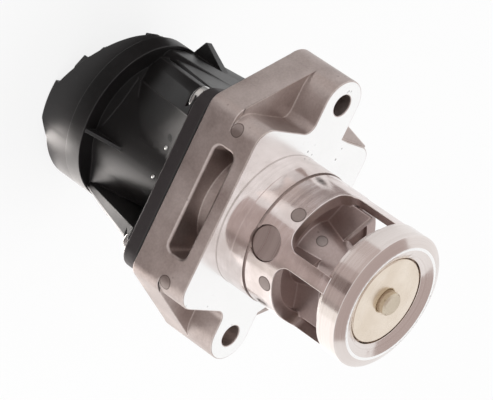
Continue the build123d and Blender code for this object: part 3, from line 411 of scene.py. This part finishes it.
# %% The finishes of the inside
INSIDE_BUMP, INSIDE_RELIEF = 0.25, 0.008 * MM
INSIDE = {
    "bronze": (turned_marks, METAL, (0.36, 0.2, 0.08), (0.62, 0.38, 0.17), (0.3, 0.45)),
    "bright_steel": (turned_marks, METAL, (0.5, 0.5, 0.5), (0.78, 0.78, 0.77), (0.16, 0.28)),
    "spring_steel": (cast_skin, METAL, (0.2, 0.19, 0.18), (0.4, 0.39, 0.38), (0.25, 0.4)),
    "magnet": (cast_skin, 0.8, (0.09, 0.088, 0.09), (0.2, 0.195, 0.2), (0.4, 0.55)),
    "gear_plastic": (moulded_skin, PLASTIC, (0.5, 0.46, 0.36), (0.66, 0.62, 0.5), (0.38, 0.5)),
    "armature_steel": (turned_marks, METAL, (0.2, 0.2, 0.21), (0.42, 0.42, 0.43), (0.3, 0.45)),
    "copper": (turned_marks, METAL, (0.55, 0.2, 0.09), (0.86, 0.42, 0.24), (0.22, 0.36)),
    "plated_steel": (cast_skin, METAL, (0.42, 0.42, 0.41), (0.62, 0.62, 0.6), (0.28, 0.4)),
    "carbon": (moulded_skin, 0.3, (0.02, 0.02, 0.02), (0.05, 0.05, 0.05), (0.5, 0.6)),
    "board_green": (moulded_skin, PLASTIC, (0.01, 0.07, 0.03), (0.02, 0.13, 0.05), (0.32, 0.42)),
    "tin_plate": (cast_skin, METAL, (0.5, 0.5, 0.48), (0.72, 0.71, 0.68), (0.2, 0.32)),
}
for label, values in INSIDE.items():
    finishes[label] = finish(label.replace("_", " "), *values, INSIDE_BUMP, relief=INSIDE_RELIEF)
print(len(finishes), "finishes in all")

# %% [markdown]
# Each solid came with one material, which only says by its name which finish the piece has. It
# could be coloured in place, but the same finish also goes on marks that have no solid. So the
# finish takes its place, and the solid itself isn't touched.

# %% Every solid gets its finish
for n, o in nodes.items():
    o.data.materials.clear()
    o.data.materials.append(finishes[slot_of_node[n]])
print("finished solids:", len(nodes))

# %% [markdown]
# ## Softened edges
# A solid from CAD has mathematically sharp edges, which no casting or moulding has: a real edge is
# rounded and catches a thin line of light. A Bevel modifier could round them, but a CAD mesh is
# loose triangles that share no vertices, so it would find no edge to round. Each outside piece is
# copied into a bmesh, its triangles are merged into whole faces, and only its sharp edges are
# bevelled, by a few tenths of a millimetre. The new faces are noted in an attribute called
# `edge`, which the finishes paint lighter: partly rubbed metal, partly a painted highlight.


# %% From a bmesh to a piece of the valve
def as_object(name, bm, *materials):
    """A new object at the origin with the bmesh's mesh and these materials."""
    mesh = bpy.data.meshes.new(name)
    bm.to_mesh(mesh)
    bm.free()
    for material in materials:
        mesh.materials.append(material)
    thing = bpy.data.objects.new(name, mesh)
    bpy.context.scene.collection.objects.link(thing)
    return thing


def move_with(piece, node):
    """The piece rides on the node's body."""
    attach(piece, body_of_node[node])


print("helpers for pieces ready")

# %% [markdown]
# Where two bevels run into each other at a tight corner, the operator can throw a vertex outside
# the solid or turn a small face over. Both show as dark hairs and teeth on bright metal. Clamping
# the bevel would avoid them, but it would also make every bevel as thin as the tightest corner
# allows. So the faults are mended afterwards, with a search tree over the solid that says where the
# true surface is.

# %% Mending a bevel
OVERSHOOT, STRAY_SHARE = 0.004 * MM, 0.5
LOOSE_GAP, TURNED_OVER = 0.28 * MM, -0.2


def pull_strays_in(bm, solid, source, width):
    """Puts vertices that left the solid back onto it, and says how many there were."""
    low, high = source.bound_box[0], source.bound_box[6]
    strays = 0
    for v in bm.verts:
        near, normal, _, distance = solid.find_nearest(v.co)
        outside = (v.co - near).dot(normal) > 0
        if distance > STRAY_SHARE * width or (outside and distance > OVERSHOOT):
            v.co = near
            strays += 1
        v.co = Vector(min(max(c, l), h) for c, l, h in zip(v.co, low, high))
    return strays


def turn_outwards(bm, solid):
    """Turns faces that look into the solid, and removes those that hang away from it."""
    loose = []
    for f in bm.faces:
        _, normal, _, distance = solid.find_nearest(f.calc_center_median())
        if f.normal.dot(normal) < TURNED_OVER:
            if distance > LOOSE_GAP:
                loose.append(f)
            else:
                f.normal_flip()
    bmesh.ops.delete(bm, geom=loose, context="FACES_ONLY")
    return len(loose)


print("bevels are mended within", OVERSHOOT / MM, "mm")

# %% Soften a solid
MERGE_GAP, SLIVER = 0.002 * MM, 0.001 * MM
SAME_PLANE, SHARP, HARD_SHADED = math.radians(0.4), math.radians(28), math.radians(35)
BEVEL_STEPS, ROUND_PROFILE = 2, 0.5


def whole_faces(bm):
    """Merges the loose triangles of a CAD mesh into whole faces."""
    bmesh.ops.remove_doubles(bm, verts=bm.verts, dist=MERGE_GAP)
    bmesh.ops.dissolve_degenerate(bm, edges=bm.edges, dist=SLIVER)
    bmesh.ops.dissolve_limit(bm, angle_limit=SAME_PLANE, verts=bm.verts, edges=bm.edges)


def soften(node, name, width, finish_name=None, shape=None, crisp=None):
    """A copy of the CAD node with bevelled edges that stands in for it.

    shape(bm) may work on the mesh first, and edges for which crisp(edge) is true aren't bevelled.
    """
    source = nodes[node]
    bm = bmesh.new()
    bm.from_mesh(source.data)
    layer = bm.faces.layers.float.new("edge")
    whole_faces(bm)
    if shape:
        shape(bm)
    solid = BVHTree.FromBMesh(bm)
    sharp = [e for e in bm.edges if len(e.link_faces) == 2 and e.calc_face_angle(0.0) > SHARP]
    if crisp:
        sharp = [e for e in sharp if not crisp(e)]
    made = bmesh.ops.bevel(bm, geom=sharp, offset=width, segments=BEVEL_STEPS, profile=ROUND_PROFILE,
                           affect="EDGES", clamp_overlap=False, material=-1, offset_type="OFFSET")
    for f in made["faces"]:
        f[layer] = 1.0
    strays = pull_strays_in(bm, solid, source, width)
    bmesh.ops.remove_doubles(bm, verts=bm.verts, dist=SLIVER)
    for f in bm.faces:
        f.smooth = True
    bmesh.ops.triangulate(bm, faces=[f for f in bm.faces if len(f.verts) > 4])
    bm.normal_update()
    loose = turn_outwards(bm, solid)
    for e in bm.edges:
        if len(e.link_faces) == 2 and e.calc_face_angle(0.0) > HARD_SHADED:
            e.smooth = False
    piece = as_object(name, bm, finishes[finish_name or slot_of_node[node]])
    piece.modifiers.new("even shading", "WEIGHTED_NORMAL").keep_sharp = True
    move_with(piece, node)
    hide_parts(node)
    print(f"{name}: {len(sharp)} edges bevelled, {len(piece.data.polygons)} faces, "
          f"{strays} strays pulled in, {loose} loose faces removed")
    return piece


print("edges over", round(math.degrees(SHARP)), "degrees are bevelled")

# %% [markdown]
# ### The casting
# A fine groove is scribed round the pilot, the cylinder that centres the valve in the engine. A
# boolean cut could make it, but it would leave slivers on the long CAD facets. Three level cuts
# round the cylinder do it cleanly, with the vertices of the middle one pressed in. The groove, the
# relief beside it and the plug's hole are machined after casting, so their edges stay crisp.


# %% Round the valve axis
def off_axis(point):
    """Distance from the valve axis."""
    return math.hypot(point.x, point.y)


def set_radius(v, radius):
    """Moves a vertex straight out from the valve axis, or in, to this radius."""
    factor = radius / off_axis(v.co)
    v.co.x *= factor
    v.co.y *= factor


print("helpers for round shapes ready")

# %% Softened casting
PILOT_R, GROOVE_AT, GROOVE_HALF, GROOVE_DEPTH = 22.0 * MM, 6.0 * MM, 0.14 * MM, 0.16 * MM
RELIEF_FROM, RELIEF_TO = 10.5 * MM, 12.2 * MM
PILOT_FROM, PILOT_TO = -0.1 * MM, RELIEF_FROM + 0.6 * MM
NEAR_PILOT, ON_LEVEL, NOSE_R = 0.1 * MM, 0.01 * MM, 20.5 * MM
PLUG_AT, PLUG_REACH = Vector((0, -21.7 * MM, 16.0 * MM)), 6.5 * MM
CASTING_EDGE = 0.35 * MM


def on_pilot(v):
    """True for a vertex of the pilot's wall."""
    return off_axis(v.co) > PILOT_R - NEAR_PILOT and PILOT_FROM < v.co.z < PILOT_TO


def pilot_groove(bm):
    """Turns a fine groove into the pilot: three cuts round it, the middle one pressed in."""
    for level in (GROOVE_AT - GROOVE_HALF, GROOVE_AT, GROOVE_AT + GROOVE_HALF):
        wall = {f for f in bm.faces if all(on_pilot(v) for v in f.verts)}
        parts = [f for f in bm.faces if f in wall]
        parts += [e for e in bm.edges if wall.intersection(e.link_faces)]
        parts += [v for v in bm.verts if wall.intersection(v.link_faces)]
        bmesh.ops.bisect_plane(bm, geom=parts, dist=WELD, plane_co=(0, 0, level), plane_no=(0, 0, 1))
    for v in bm.verts:
        if abs(v.co.z - GROOVE_AT) < ON_LEVEL and abs(off_axis(v.co) - PILOT_R) < NEAR_PILOT:
            set_radius(v, off_axis(v.co) - GROOVE_DEPTH)


def turned_detail(edge):
    """The pilot groove, the relief groove and the plug's hole keep their crisp edges."""
    middle = (edge.verts[0].co + edge.verts[1].co) / 2
    in_groove = abs(middle.z - GROOVE_AT) < 2 * GROOVE_HALF or RELIEF_FROM < middle.z < RELIEF_TO
    return off_axis(middle) > NOSE_R and (in_groove or (middle - PLUG_AT).length < PLUG_REACH)


housing = soften("valve_housing", "housing_casting", CASTING_EDGE, shape=pilot_groove, crisp=turned_detail)

# %% [markdown]
# ### Seat ring, plug and poppet
# The ring is pressed onto the nose, and the poppet closes against its inner cone. The cone reaches
# nearly to the front, where it leaves a narrow flat lip, so the vertices of the lip's inner edge
# are moved outwards before the bevel. A hard turned part has smaller edges than a casting.

# %% Softened ring, plug and poppet
LIP_Z, LIP_R, LIP_SHIFT = 50.0 * MM, 17.0 * MM, 0.8 * MM
NEAR_LIP_Z, NEAR_LIP_R = 0.05 * MM, 0.1 * MM
RING_EDGE, PLUG_EDGE, POPPET_EDGE = 0.12 * MM, 0.08 * MM, 0.2 * MM


def narrow_lip(bm):
    """Opens the seat ring's inner cone, so that only a narrow flat lip is left in front."""
    for v in bm.verts:
        if v.co.z > LIP_Z - NEAR_LIP_Z and abs(off_axis(v.co) - LIP_R) < NEAR_LIP_R:
            set_radius(v, LIP_R + LIP_SHIFT)


ring = soften("seat_ring", "turned_seat_ring", RING_EDGE, shape=narrow_lip)
soften("cross_hole_plug", "nose_plug", PLUG_EDGE, finish_name="plug_steel")
soften("poppet_disc", "poppet_head", POPPET_EDGE)

# %% [markdown]
# ### Plate, cover and cap
# The black parts are moulded, and a mould's edges are rounded so that the plastic flows round them
# and the part comes out clean. The plate is stiffer and thinner, so its edges are tighter.

# %% Softened plate, cover and cap
PLATE_EDGE, COVER_EDGE = 0.25 * MM, 0.3 * MM
plate = soften("flange_plate", "black_flange_plate", PLATE_EDGE, finish_name="plate_plastic")
cover = soften("motor_cover", "ribbed_motor_cover", COVER_EDGE)
soften("end_cap", "cover_end_cap", COVER_EDGE)

# %% [markdown]
# ## Return spring
# When the valve opens, the retainer pushes the spring's lower end up against the fixed seat. A
# moving coil could be rebuilt for each position, but a spring of constant pitch only gets shorter.
# So a copy of the coil stands in for it and rides on the spring's body.

# %% Copy of the coil
coil_mesh = nodes["return_spring"].data.copy()
coil = bpy.data.objects.new("shortening_return_spring", coil_mesh)
bpy.context.scene.collection.objects.link(coil)
move_with(coil, "return_spring")
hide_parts("return_spring")
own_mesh(coil)

# %% [markdown]
# ## Machined faces
# The mounting face is milled flat and the nose is turned, which leaves bright metal next to the
# dull cast skin. The faces could be picked by number, but the numbers change with every edit of
# the shape. Here they are told apart by where they lie and which way they look, and each gets its
# own material.

# %% Machined faces of the casting, and a painted highlight on the ring's lip
CAST, MILLED, TURNED, SHADED_CHAMBER = range(4)
FACE_GAP, TURNED_FROM, CHAMBER_FLOOR, NOSE_WALL_R = 0.05 * MM, 0.2 * MM, 18.5 * MM, 20.9 * MM
LOOKS_UP, LOOKS_ASIDE, LIP_LOOKS_UP = 0.95, 0.8, 0.98


def machining(face):
    """Says by its place how a casting face was made, or that it gets the chamber's painted shade."""
    level, r = face.center.z, off_axis(face.center)
    if abs(level) < FACE_GAP and face.normal.z > LOOKS_UP:
        return MILLED
    if level > TURNED_FROM and r > NOSE_WALL_R and abs(face.normal.z) < LOOKS_ASIDE:
        return TURNED
    # Faces inside the gas chamber get the darker finish that paints in shade.
    if level > CHAMBER_FLOOR and r < NOSE_WALL_R:
        return SHADED_CHAMBER
    return CAST


for label in ("milled_aluminium", "turned_aluminium", "shaded_chamber_aluminium"):
    housing.data.materials.append(finishes[label])
counts = [0, 0, 0, 0]
for f in housing.data.polygons:
    f.material_index = machining(f)
    counts[f.material_index] += 1
# The ring's narrow lip, whose faces look straight up, gets the near-white milled finish: a painted
# highlight on the steel ring.
ring.data.materials.append(finishes["milled_aluminium"])
for f in ring.data.polygons:
    f.material_index = 1 if f.normal.z > LIP_LOOKS_UP else 0
# The fourth count is the gas chamber's faces, which carry painted shade.
print("faces cast, milled, turned, sooted:", counts)

# %% [markdown]
# ## Small marks
# Ejector pins leave round prints on a casting, and moulded parts have small bosses and dimples.
# They could be cut into the mesh, but a thin round patch laid on the surface is simpler and leaves
# the casting alone. Half a section of the mark is spun into a disc, and every point of the disc is
# dropped onto the solid, so it follows a flat wall and a curved one alike.

# %% Round patches laid on a surface
PATCH_STEPS, DROP_FROM, FAR_OFF = 40, 20 * MM, 3 * MM


def surface_of(piece):
    """A search tree over a piece's faces."""
    mesh = piece.data
    return BVHTree.FromPolygons([v.co for v in mesh.vertices], [list(f.vertices) for f in mesh.polygons])


def spun_disc(bm, radius, profile):
    """Spins half a section round Z into a disc with its outermost band in the second material."""
    others = set(bm.verts)
    section = [bm.verts.new((share * radius, 0, height)) for share, height in profile]
    edges = [bm.edges.new(pair) for pair in zip(section, section[1:])]
    bmesh.ops.spin(bm, geom=section + edges, cent=(0, 0, 0), axis=(0, 0, 1), angle=2 * math.pi,
                   steps=PATCH_STEPS, use_merge=True)
    bmesh.ops.remove_doubles(bm, verts=[v for v in bm.verts if v not in others], dist=WELD)
    disc = [v for v in bm.verts if v not in others]
    for f in {f for v in disc for f in v.link_faces}:
        f.material_index = int(off_axis(f.calc_center_median()) > profile[-2][0] * radius)
        f.smooth = True
    return disc


def drop(verts, tree, middle, inward):
    """Drops each vertex along inward onto the surface, and raises it there by its own height.

    A vertex that would fall through an opening goes to the nearest surface instead.
    """
    across = inward.orthogonal().normalized()
    aside = inward.cross(across)
    for v in verts:
        wanted = middle + across * v.co.x + aside * v.co.y
        hit, normal, _, _ = tree.ray_cast(wanted - inward * DROP_FROM, inward)
        if hit is None or (hit - wanted).length > FAR_OFF:
            hit, normal, _, _ = tree.find_nearest(wanted)
        v.co = hit + normal * v.co.z


print("patches have", PATCH_STEPS, "steps round")


# %% A helper for marks
def patch(name, node, tree, points, direction, radius, profile, face_finish, rim_finish):
    """Patches of this radius at each point, seen along direction (None: towards the valve axis).

    profile lists (share of the radius, height above the surface), from the middle outwards.
    """
    bm = bmesh.new()
    for point in points:
        middle = Vector(point) * MM
        inward = Vector(direction) if direction else -Vector((middle.x, middle.y, 0))
        drop(spun_disc(bm, radius, profile), tree, middle, inward.normalized())
    bm.normal_update()
    for f in bm.faces:
        _, normal, _, _ = tree.find_nearest(f.calc_center_median())
        if f.normal.dot(normal) < 0:
            f.normal_flip()
    piece = as_object(name, bm, finishes[face_finish], finishes[rim_finish])
    move_with(piece, node)
    print(name, len(points), "patches,", len(piece.data.polygons), "faces")


print("helper for marks ready")

# %% [markdown]
# ### Ejector pin prints
# After casting, steel pins push the part out of the die. Each leaves a smooth round face with a
# fine dark outline: two on the front wall, two on the nose beside the plug, and one inside on the
# guide boss.

# %% Pin prints on the casting
PRINT = ((0, 0.05 * MM), (0.3, 0.05 * MM), (0.6, 0.05 * MM), (0.86, 0.05 * MM), (1.0, 0.02 * MM))
PIN_PRINTS = {
    "wall_pin_prints": ([(-23.9, -24.2, -8.1), (26.7, -24.1, -8.0)], (0, 1, 0), 2.2 * MM),
    "nose_pin_prints": ([(-11.7, -18.3, 19.9), (11.1, -18.6, 19.9)], None, 2.4 * MM),
    "boss_pin_print": ([(-5.9, -6.8, 23.8)], (0.6, 0.74, -0.3), 1.8 * MM),
}
casting_surface = surface_of(housing)
for name, (points, direction, radius) in PIN_PRINTS.items():
    patch(name, "valve_housing", casting_surface, points, direction, radius, PRINT, "pin_face", "crease")

# %% [markdown]
# ### Marks on the black parts
# The cover carries two tiny bright nubs and two shallow dimples, and the flange plate has one small
# print beside its left corner. They use the same patches with other sections.

# %% Nubs, dimples and the plate's print
DOME = ((0, 0.55 * MM), (0.35, 0.5 * MM), (0.65, 0.36 * MM), (0.88, 0.16 * MM), (1.0, -0.02 * MM))
DIMPLE = ((0, 0.015 * MM), (0.8, 0.015 * MM), (1.0, -0.01 * MM))
cover_surface, plate_surface = surface_of(cover), surface_of(plate)
patch("cover_nubs", "motor_cover", cover_surface, [(-4.4, -14.5, -35.0), (6.0, -12.4, -36.2)],
      direction=(0, 1, 0), radius=0.75 * MM, profile=DOME, face_finish="screw_steel",
      rim_finish="screw_steel")
patch("cover_dimples", "motor_cover", cover_surface, [(-8.1, -16.0, -34.3), (12.2, -9.5, -38.6)],
      direction=(-0.2, 0.95, 0.1), radius=1.3 * MM, profile=DIMPLE, face_finish="seal_black",
      rim_finish="seal_black")
patch("plate_print", "flange_plate", plate_surface, [(-27.4, -22.3, -24.4)],
      direction=(0.74, 0.67, 0), radius=0.9 * MM, profile=PRINT, face_finish="plate_plastic",
      rim_finish="seal_black")

# %% [markdown]
# ### Bead under the rim
# A thin bead runs round the cover below its rim, from the left gusset to the thin rib. A curve
# object with a round section could make it, but it would cut through the curved wall between its
# points. So the course is first dropped onto the round body. Then a small circle stands at every
# point, the circles are bridged into a tube, and both ends taper off.

# %% Course of the bead
BEAD_COURSE = (
    (-15.6, -6.6, -61.2), (-14.5, -7.7, -60.2), (-11.1, -10.2, -59.2), (-7.4, -12.0, -58.8),
    (-2.8, -13.1, -59.4), (0.4, -13.3, -60.4), (3.0, -13.0, -61.6),
)
COURSE_STEPS = 6
course = []
for a, b in zip(BEAD_COURSE, BEAD_COURSE[1:]):
    for k in range(COURSE_STEPS):
        point = Vector(a).lerp(Vector(b), k / COURSE_STEPS) * MM
        hit, normal, _, _ = cover_surface.find_nearest(point)
        course.append((hit, normal))
print("bead follows", len(course), "points")

# %% Tube along the course
BEAD_R, BEAD_SIDES = 0.3 * MM, 8
TIP_SHARE, TAPER_STEPS = 0.3, 4
bm = bmesh.new()
circles = []
last = len(course) - 1
for k, (hit, normal) in enumerate(course):
    ahead = (course[min(k + 1, last)][0] - course[max(k - 1, 0)][0]).normalized()
    aside = ahead.cross(normal).normalized()
    up = aside.cross(ahead).normalized()
    radius = BEAD_R * min(1.0, TIP_SHARE + k / TAPER_STEPS, TIP_SHARE + (last - k) / TAPER_STEPS)
    place = Matrix.Translation(hit) @ Matrix((aside, up, ahead)).transposed().to_4x4()
    circle = bmesh.ops.create_circle(bm, segments=BEAD_SIDES, radius=radius, matrix=place,
                                     cap_ends=k in (0, last))
    ring_verts = set(circle["verts"])
    circles.append([e for e in bm.edges if ring_verts.issuperset(e.verts)])
for one, two in zip(circles, circles[1:]):
    bmesh.ops.bridge_loops(bm, edges=one + two)
bmesh.ops.recalc_face_normals(bm, faces=bm.faces)
for f in bm.faces:
    f.smooth = True
bead = as_object("cover_bead", bm, finishes["cap_plastic"])
move_with(bead, "motor_cover")
print("bead:", len(bead.data.polygons), "faces")

# %% [markdown]
# ## Studio
# The valve stands on a pale floor in a white world. Both have to look white to the camera, yet
# light the valve softly, so each has two faces: a plain white one for the camera and for
# reflections, and a dimmer one for everything else. The Light Path node tells them apart.


# %% Helpers for the studio
def shown_to(tree, share):
    """A mask that is share for camera, glossy and transmission rays, else 0."""
    path = add(tree, "ShaderNodeLightPath")
    mask = calc(tree, "MAXIMUM", path.outputs["Is Camera Ray"], path.outputs["Is Glossy Ray"])
    mask = calc(tree, "MAXIMUM", mask, path.outputs["Is Transmission Ray"])
    return calc(tree, "MULTIPLY", mask, share)


def staged(name, bm, material):
    """A new mesh for the studio; it rides on no body of the valve."""
    piece = as_object(name, bm, material)
    return piece


print("helpers for the studio ready")

# %% Floor
FLOOR_SIZE, FLOOR_Z = 6.0, cad_box[0].z
FLOOR_GREY, FLOOR_ROUGH, FLOOR_GLOW = 0.9, 0.9, 0.85
bm = bmesh.new()
bmesh.ops.create_grid(bm, x_segments=1, y_segments=1, size=FLOOR_SIZE / 2)
bmesh.ops.translate(bm, verts=bm.verts, vec=(0, 0, FLOOR_Z))
floor_paint = bpy.data.materials.new("white floor")
floor_paint.use_nodes = True
tree = floor_paint.node_tree
paint = tree.nodes["Principled BSDF"]
paint.inputs["Base Color"].default_value = (FLOOR_GREY, FLOOR_GREY, FLOOR_GREY, 1)
paint.inputs["Roughness"].default_value = FLOOR_ROUGH
glow = add(tree, "ShaderNodeEmission")
both = add(tree, "ShaderNodeMixShader",
           {0: shown_to(tree, FLOOR_GLOW), 1: paint.outputs[0], 2: glow.outputs[0]})
tree.links.new(both.outputs[0], tree.nodes["Material Output"].inputs["Surface"])
staged("studio_floor", bm, floor_paint)
print("floor at", round(FLOOR_Z, 4))

# %% World
WHITE, SKY_STRENGTH = (1, 1, 1, 1), 0.6
world = bpy.data.worlds.new("studio")
bpy.context.scene.world = world
world.use_nodes = True
tree = world.node_tree
sky = tree.nodes["Background"]
sky.inputs["Color"].default_value = WHITE
sky.inputs["Strength"].default_value = SKY_STRENGTH
plain = add(tree, "ShaderNodeBackground", Color=WHITE)
both = add(tree, "ShaderNodeMixShader", {0: shown_to(tree, 1.0), 1: sky.outputs[0], 2: plain.outputs[0]})
tree.links.new(both.outputs[0], tree.nodes["World Output"].inputs["Surface"])
print("world lights the valve at", SKY_STRENGTH)

# %% [markdown]
# ### Cards
# Bright metal shows only what stands round it, and in an all-white room it would look flat. So a
# studio puts up cards: dark ones to draw bands along the nose and to keep the cover black, and
# pale ones to lift a side. Here they are sectors of rings that lie just over the floor round the
# valve, and one large disc above it. Each glows with its own colour and shows only in reflections,
# as a painted reflection: the camera, the shadows and the soft light pass them by.

# %% A helper for cards
CARD_STEPS, FULL_TURN = 24, 360


def card(name, inner, outer, start, end, colour, rise):
    """A sector of a ring above the floor between two bearings in degrees, seen only in reflections."""
    bm = bmesh.new()
    turn = Matrix.Rotation(math.radians(start), 3, "Z")
    side = [bm.verts.new(turn @ Vector((radius, 0, FLOOR_Z + rise))) for radius in (inner, outer)]
    bmesh.ops.spin(bm, geom=side + [bm.edges.new(side)], cent=(0, 0, 0), axis=(0, 0, 1),
                   angle=math.radians(end - start), steps=CARD_STEPS, use_merge=end - start == FULL_TURN)
    bmesh.ops.remove_doubles(bm, verts=bm.verts, dist=WELD)
    paint = bpy.data.materials.new(name)
    paint.use_nodes = True
    surface = paint.node_tree.nodes["Principled BSDF"]
    surface.inputs["Base Color"].default_value = (0, 0, 0, 1)
    surface.inputs["Specular IOR Level"].default_value = 0.0
    # The card glows with its colour: a painted reflection on the metal, not a lit card.
    surface.inputs["Emission Color"].default_value = (*colour, 1)
    surface.inputs["Emission Strength"].default_value = 1.0
    piece = staged(name, bm, paint)
    piece.visible_camera = piece.visible_diffuse = piece.visible_shadow = False


print("cards have", CARD_STEPS, "steps")

# %% Cards round the valve
# name, inner and outer radius in mm, bearings in degrees, colour, height above the floor in mm
CARDS = (
    ("shade_card", 115, 166, -60, -33, (0.33, 0.27, 0.26), 2.0),
    ("far_shade_card", 166, 330, -60, -50, (0.42, 0.36, 0.34), 2.0),
    ("front_card", 115, 320, -117, -60, (0.53, 0.45, 0.43), 2.0),
    ("white_card", 115, 330, -33, 62, (1.35, 1.33, 1.31), 2.0),
    ("far_white_card", 166, 330, -50, -33, (1.15, 1.12, 1.08), 2.0),
    ("left_white_card", 118, 160, -178, -128, (1.25, 1.15, 1.10), 2.0),
    ("left_shade_card", 163, 210, -228, -142, (0.30, 0.25, 0.24), 2.0),
    ("far_dark_card", 213, 330, -99, -80, (0.20, 0.15, 0.14), 3.0),
    ("far_left_card", 213, 330, -165, -117, (0.66, 0.58, 0.56), 3.0),
    ("cover_card", 30, 112, -215, -42, (0.05, 0.045, 0.045), 2.0),
    ("ceiling_card", 0, 250, 0, 360, (0.56, 0.48, 0.46), 350.0),
)
for name, inner, outer, start, end, colour, rise in CARDS:
    card(name, inner * MM, outer * MM, start, end, colour, rise * MM)
print(len(CARDS), "cards")

# %% [markdown]
# ### Lamps
# A broad lamp above and one at the side give the form its light and shade. They aren't mirrored,
# or the turned metal would show them as white squares. The black cover needs the opposite: what
# the eye sees of black plastic is the sheen, so three small warm lamps lie low beside it and point
# up, each where the cover, the cap and a rib mirror it.


# %% A helper for lamps
def lamp(name, direction, distance, size, power, aim=(0, 0, 0), mirrored=True, tint=(1, 1, 1)):
    """A soft box, size wide and high, in that direction from the aim and pointing at it."""
    light = bpy.data.lights.new(name, "AREA")
    light.shape = "RECTANGLE"
    light.size, light.size_y = size
    light.energy = power
    light.color = tint
    holder = bpy.data.objects.new(name, light)
    bpy.context.scene.collection.objects.link(holder)
    way = Vector(direction).normalized()
    holder.location = Vector(aim) + way * distance
    holder.rotation_mode = "QUATERNION"
    holder.rotation_quaternion = way.to_track_quat("Z", "Y")
    holder.visible_camera = False
    holder.visible_glossy = mirrored


print("helper for lamps ready")

# %% Lamps
lamp("top lamp", direction=(0.1, 0.35, 0.93), distance=1.1, size=(0.8, 0.8), power=5.0, mirrored=False)
lamp("side lamp", direction=(0.95, -0.1, 0.0), distance=0.45, size=(0.22, 0.22), power=1.2,
     aim=(0, 0, -20 * MM), mirrored=False)
WARM, LOW_AIM_Z, LOW_DISTANCE = (1.0, 0.94, 0.90), -48 * MM, 32 * MM
# name, width and height in mm, watts, where it points as x and y in mm
LOW_LAMPS = (
    ("sheen lamp", (48, 84), 0.056, (70, -10)),
    ("cap lamp", (13, 16), 0.0072, (22.5, -21)),
    ("rib lamp", (20, 48), 0.0066, (37, 0)),
)
for name, (wide, high), watts, (x, y) in LOW_LAMPS:
    lamp(name, (0, 0, -1), LOW_DISTANCE, (wide * MM, high * MM), watts,
         aim=(x * MM, y * MM, LOW_AIM_Z), tint=WARM)
print("lamps:", len(bpy.data.lights))

# %% [markdown]
# ## Camera
# A long lens far away keeps the parallel edges of the valve nearly parallel, as on a catalogue
# page. The camera looks down on the nose from the front and is rolled, so that the valve lies
# across the view. Three angles could say this, but the directions of its right side and of its
# gaze are easier to think about, and they give the turning matrix directly.

# %% Camera
CAMERA_AT = Vector((-0.244, -0.820, 0.532))
RIGHT = Vector((-0.421, 0.584, 0.694)).normalized()
GAZE = Vector((0.240, 0.8095, -0.536))
FOCAL_PIXELS, VIEW_WIDTH, SENSOR = 3400.0, 493.0, 36.0
NEAREST, FURTHEST = 0.01, 20.0
forward = (GAZE - RIGHT * GAZE.dot(RIGHT)).normalized()
up = RIGHT.cross(forward)
lens = bpy.data.cameras.new("camera")
lens.sensor_width = SENSOR
lens.lens = FOCAL_PIXELS * SENSOR / VIEW_WIDTH
lens.clip_start, lens.clip_end = NEAREST, FURTHEST
camera = bpy.data.objects.new("camera", lens)
bpy.context.scene.collection.objects.link(camera)
turn = Matrix((RIGHT, up, -forward)).transposed().to_4x4()
camera.matrix_world = Matrix.Translation(CAMERA_AT) @ turn
bpy.context.scene.camera = camera
bpy.context.scene.view_settings.view_transform = "Standard"
print("lens", round(lens.lens, 1), "mm")
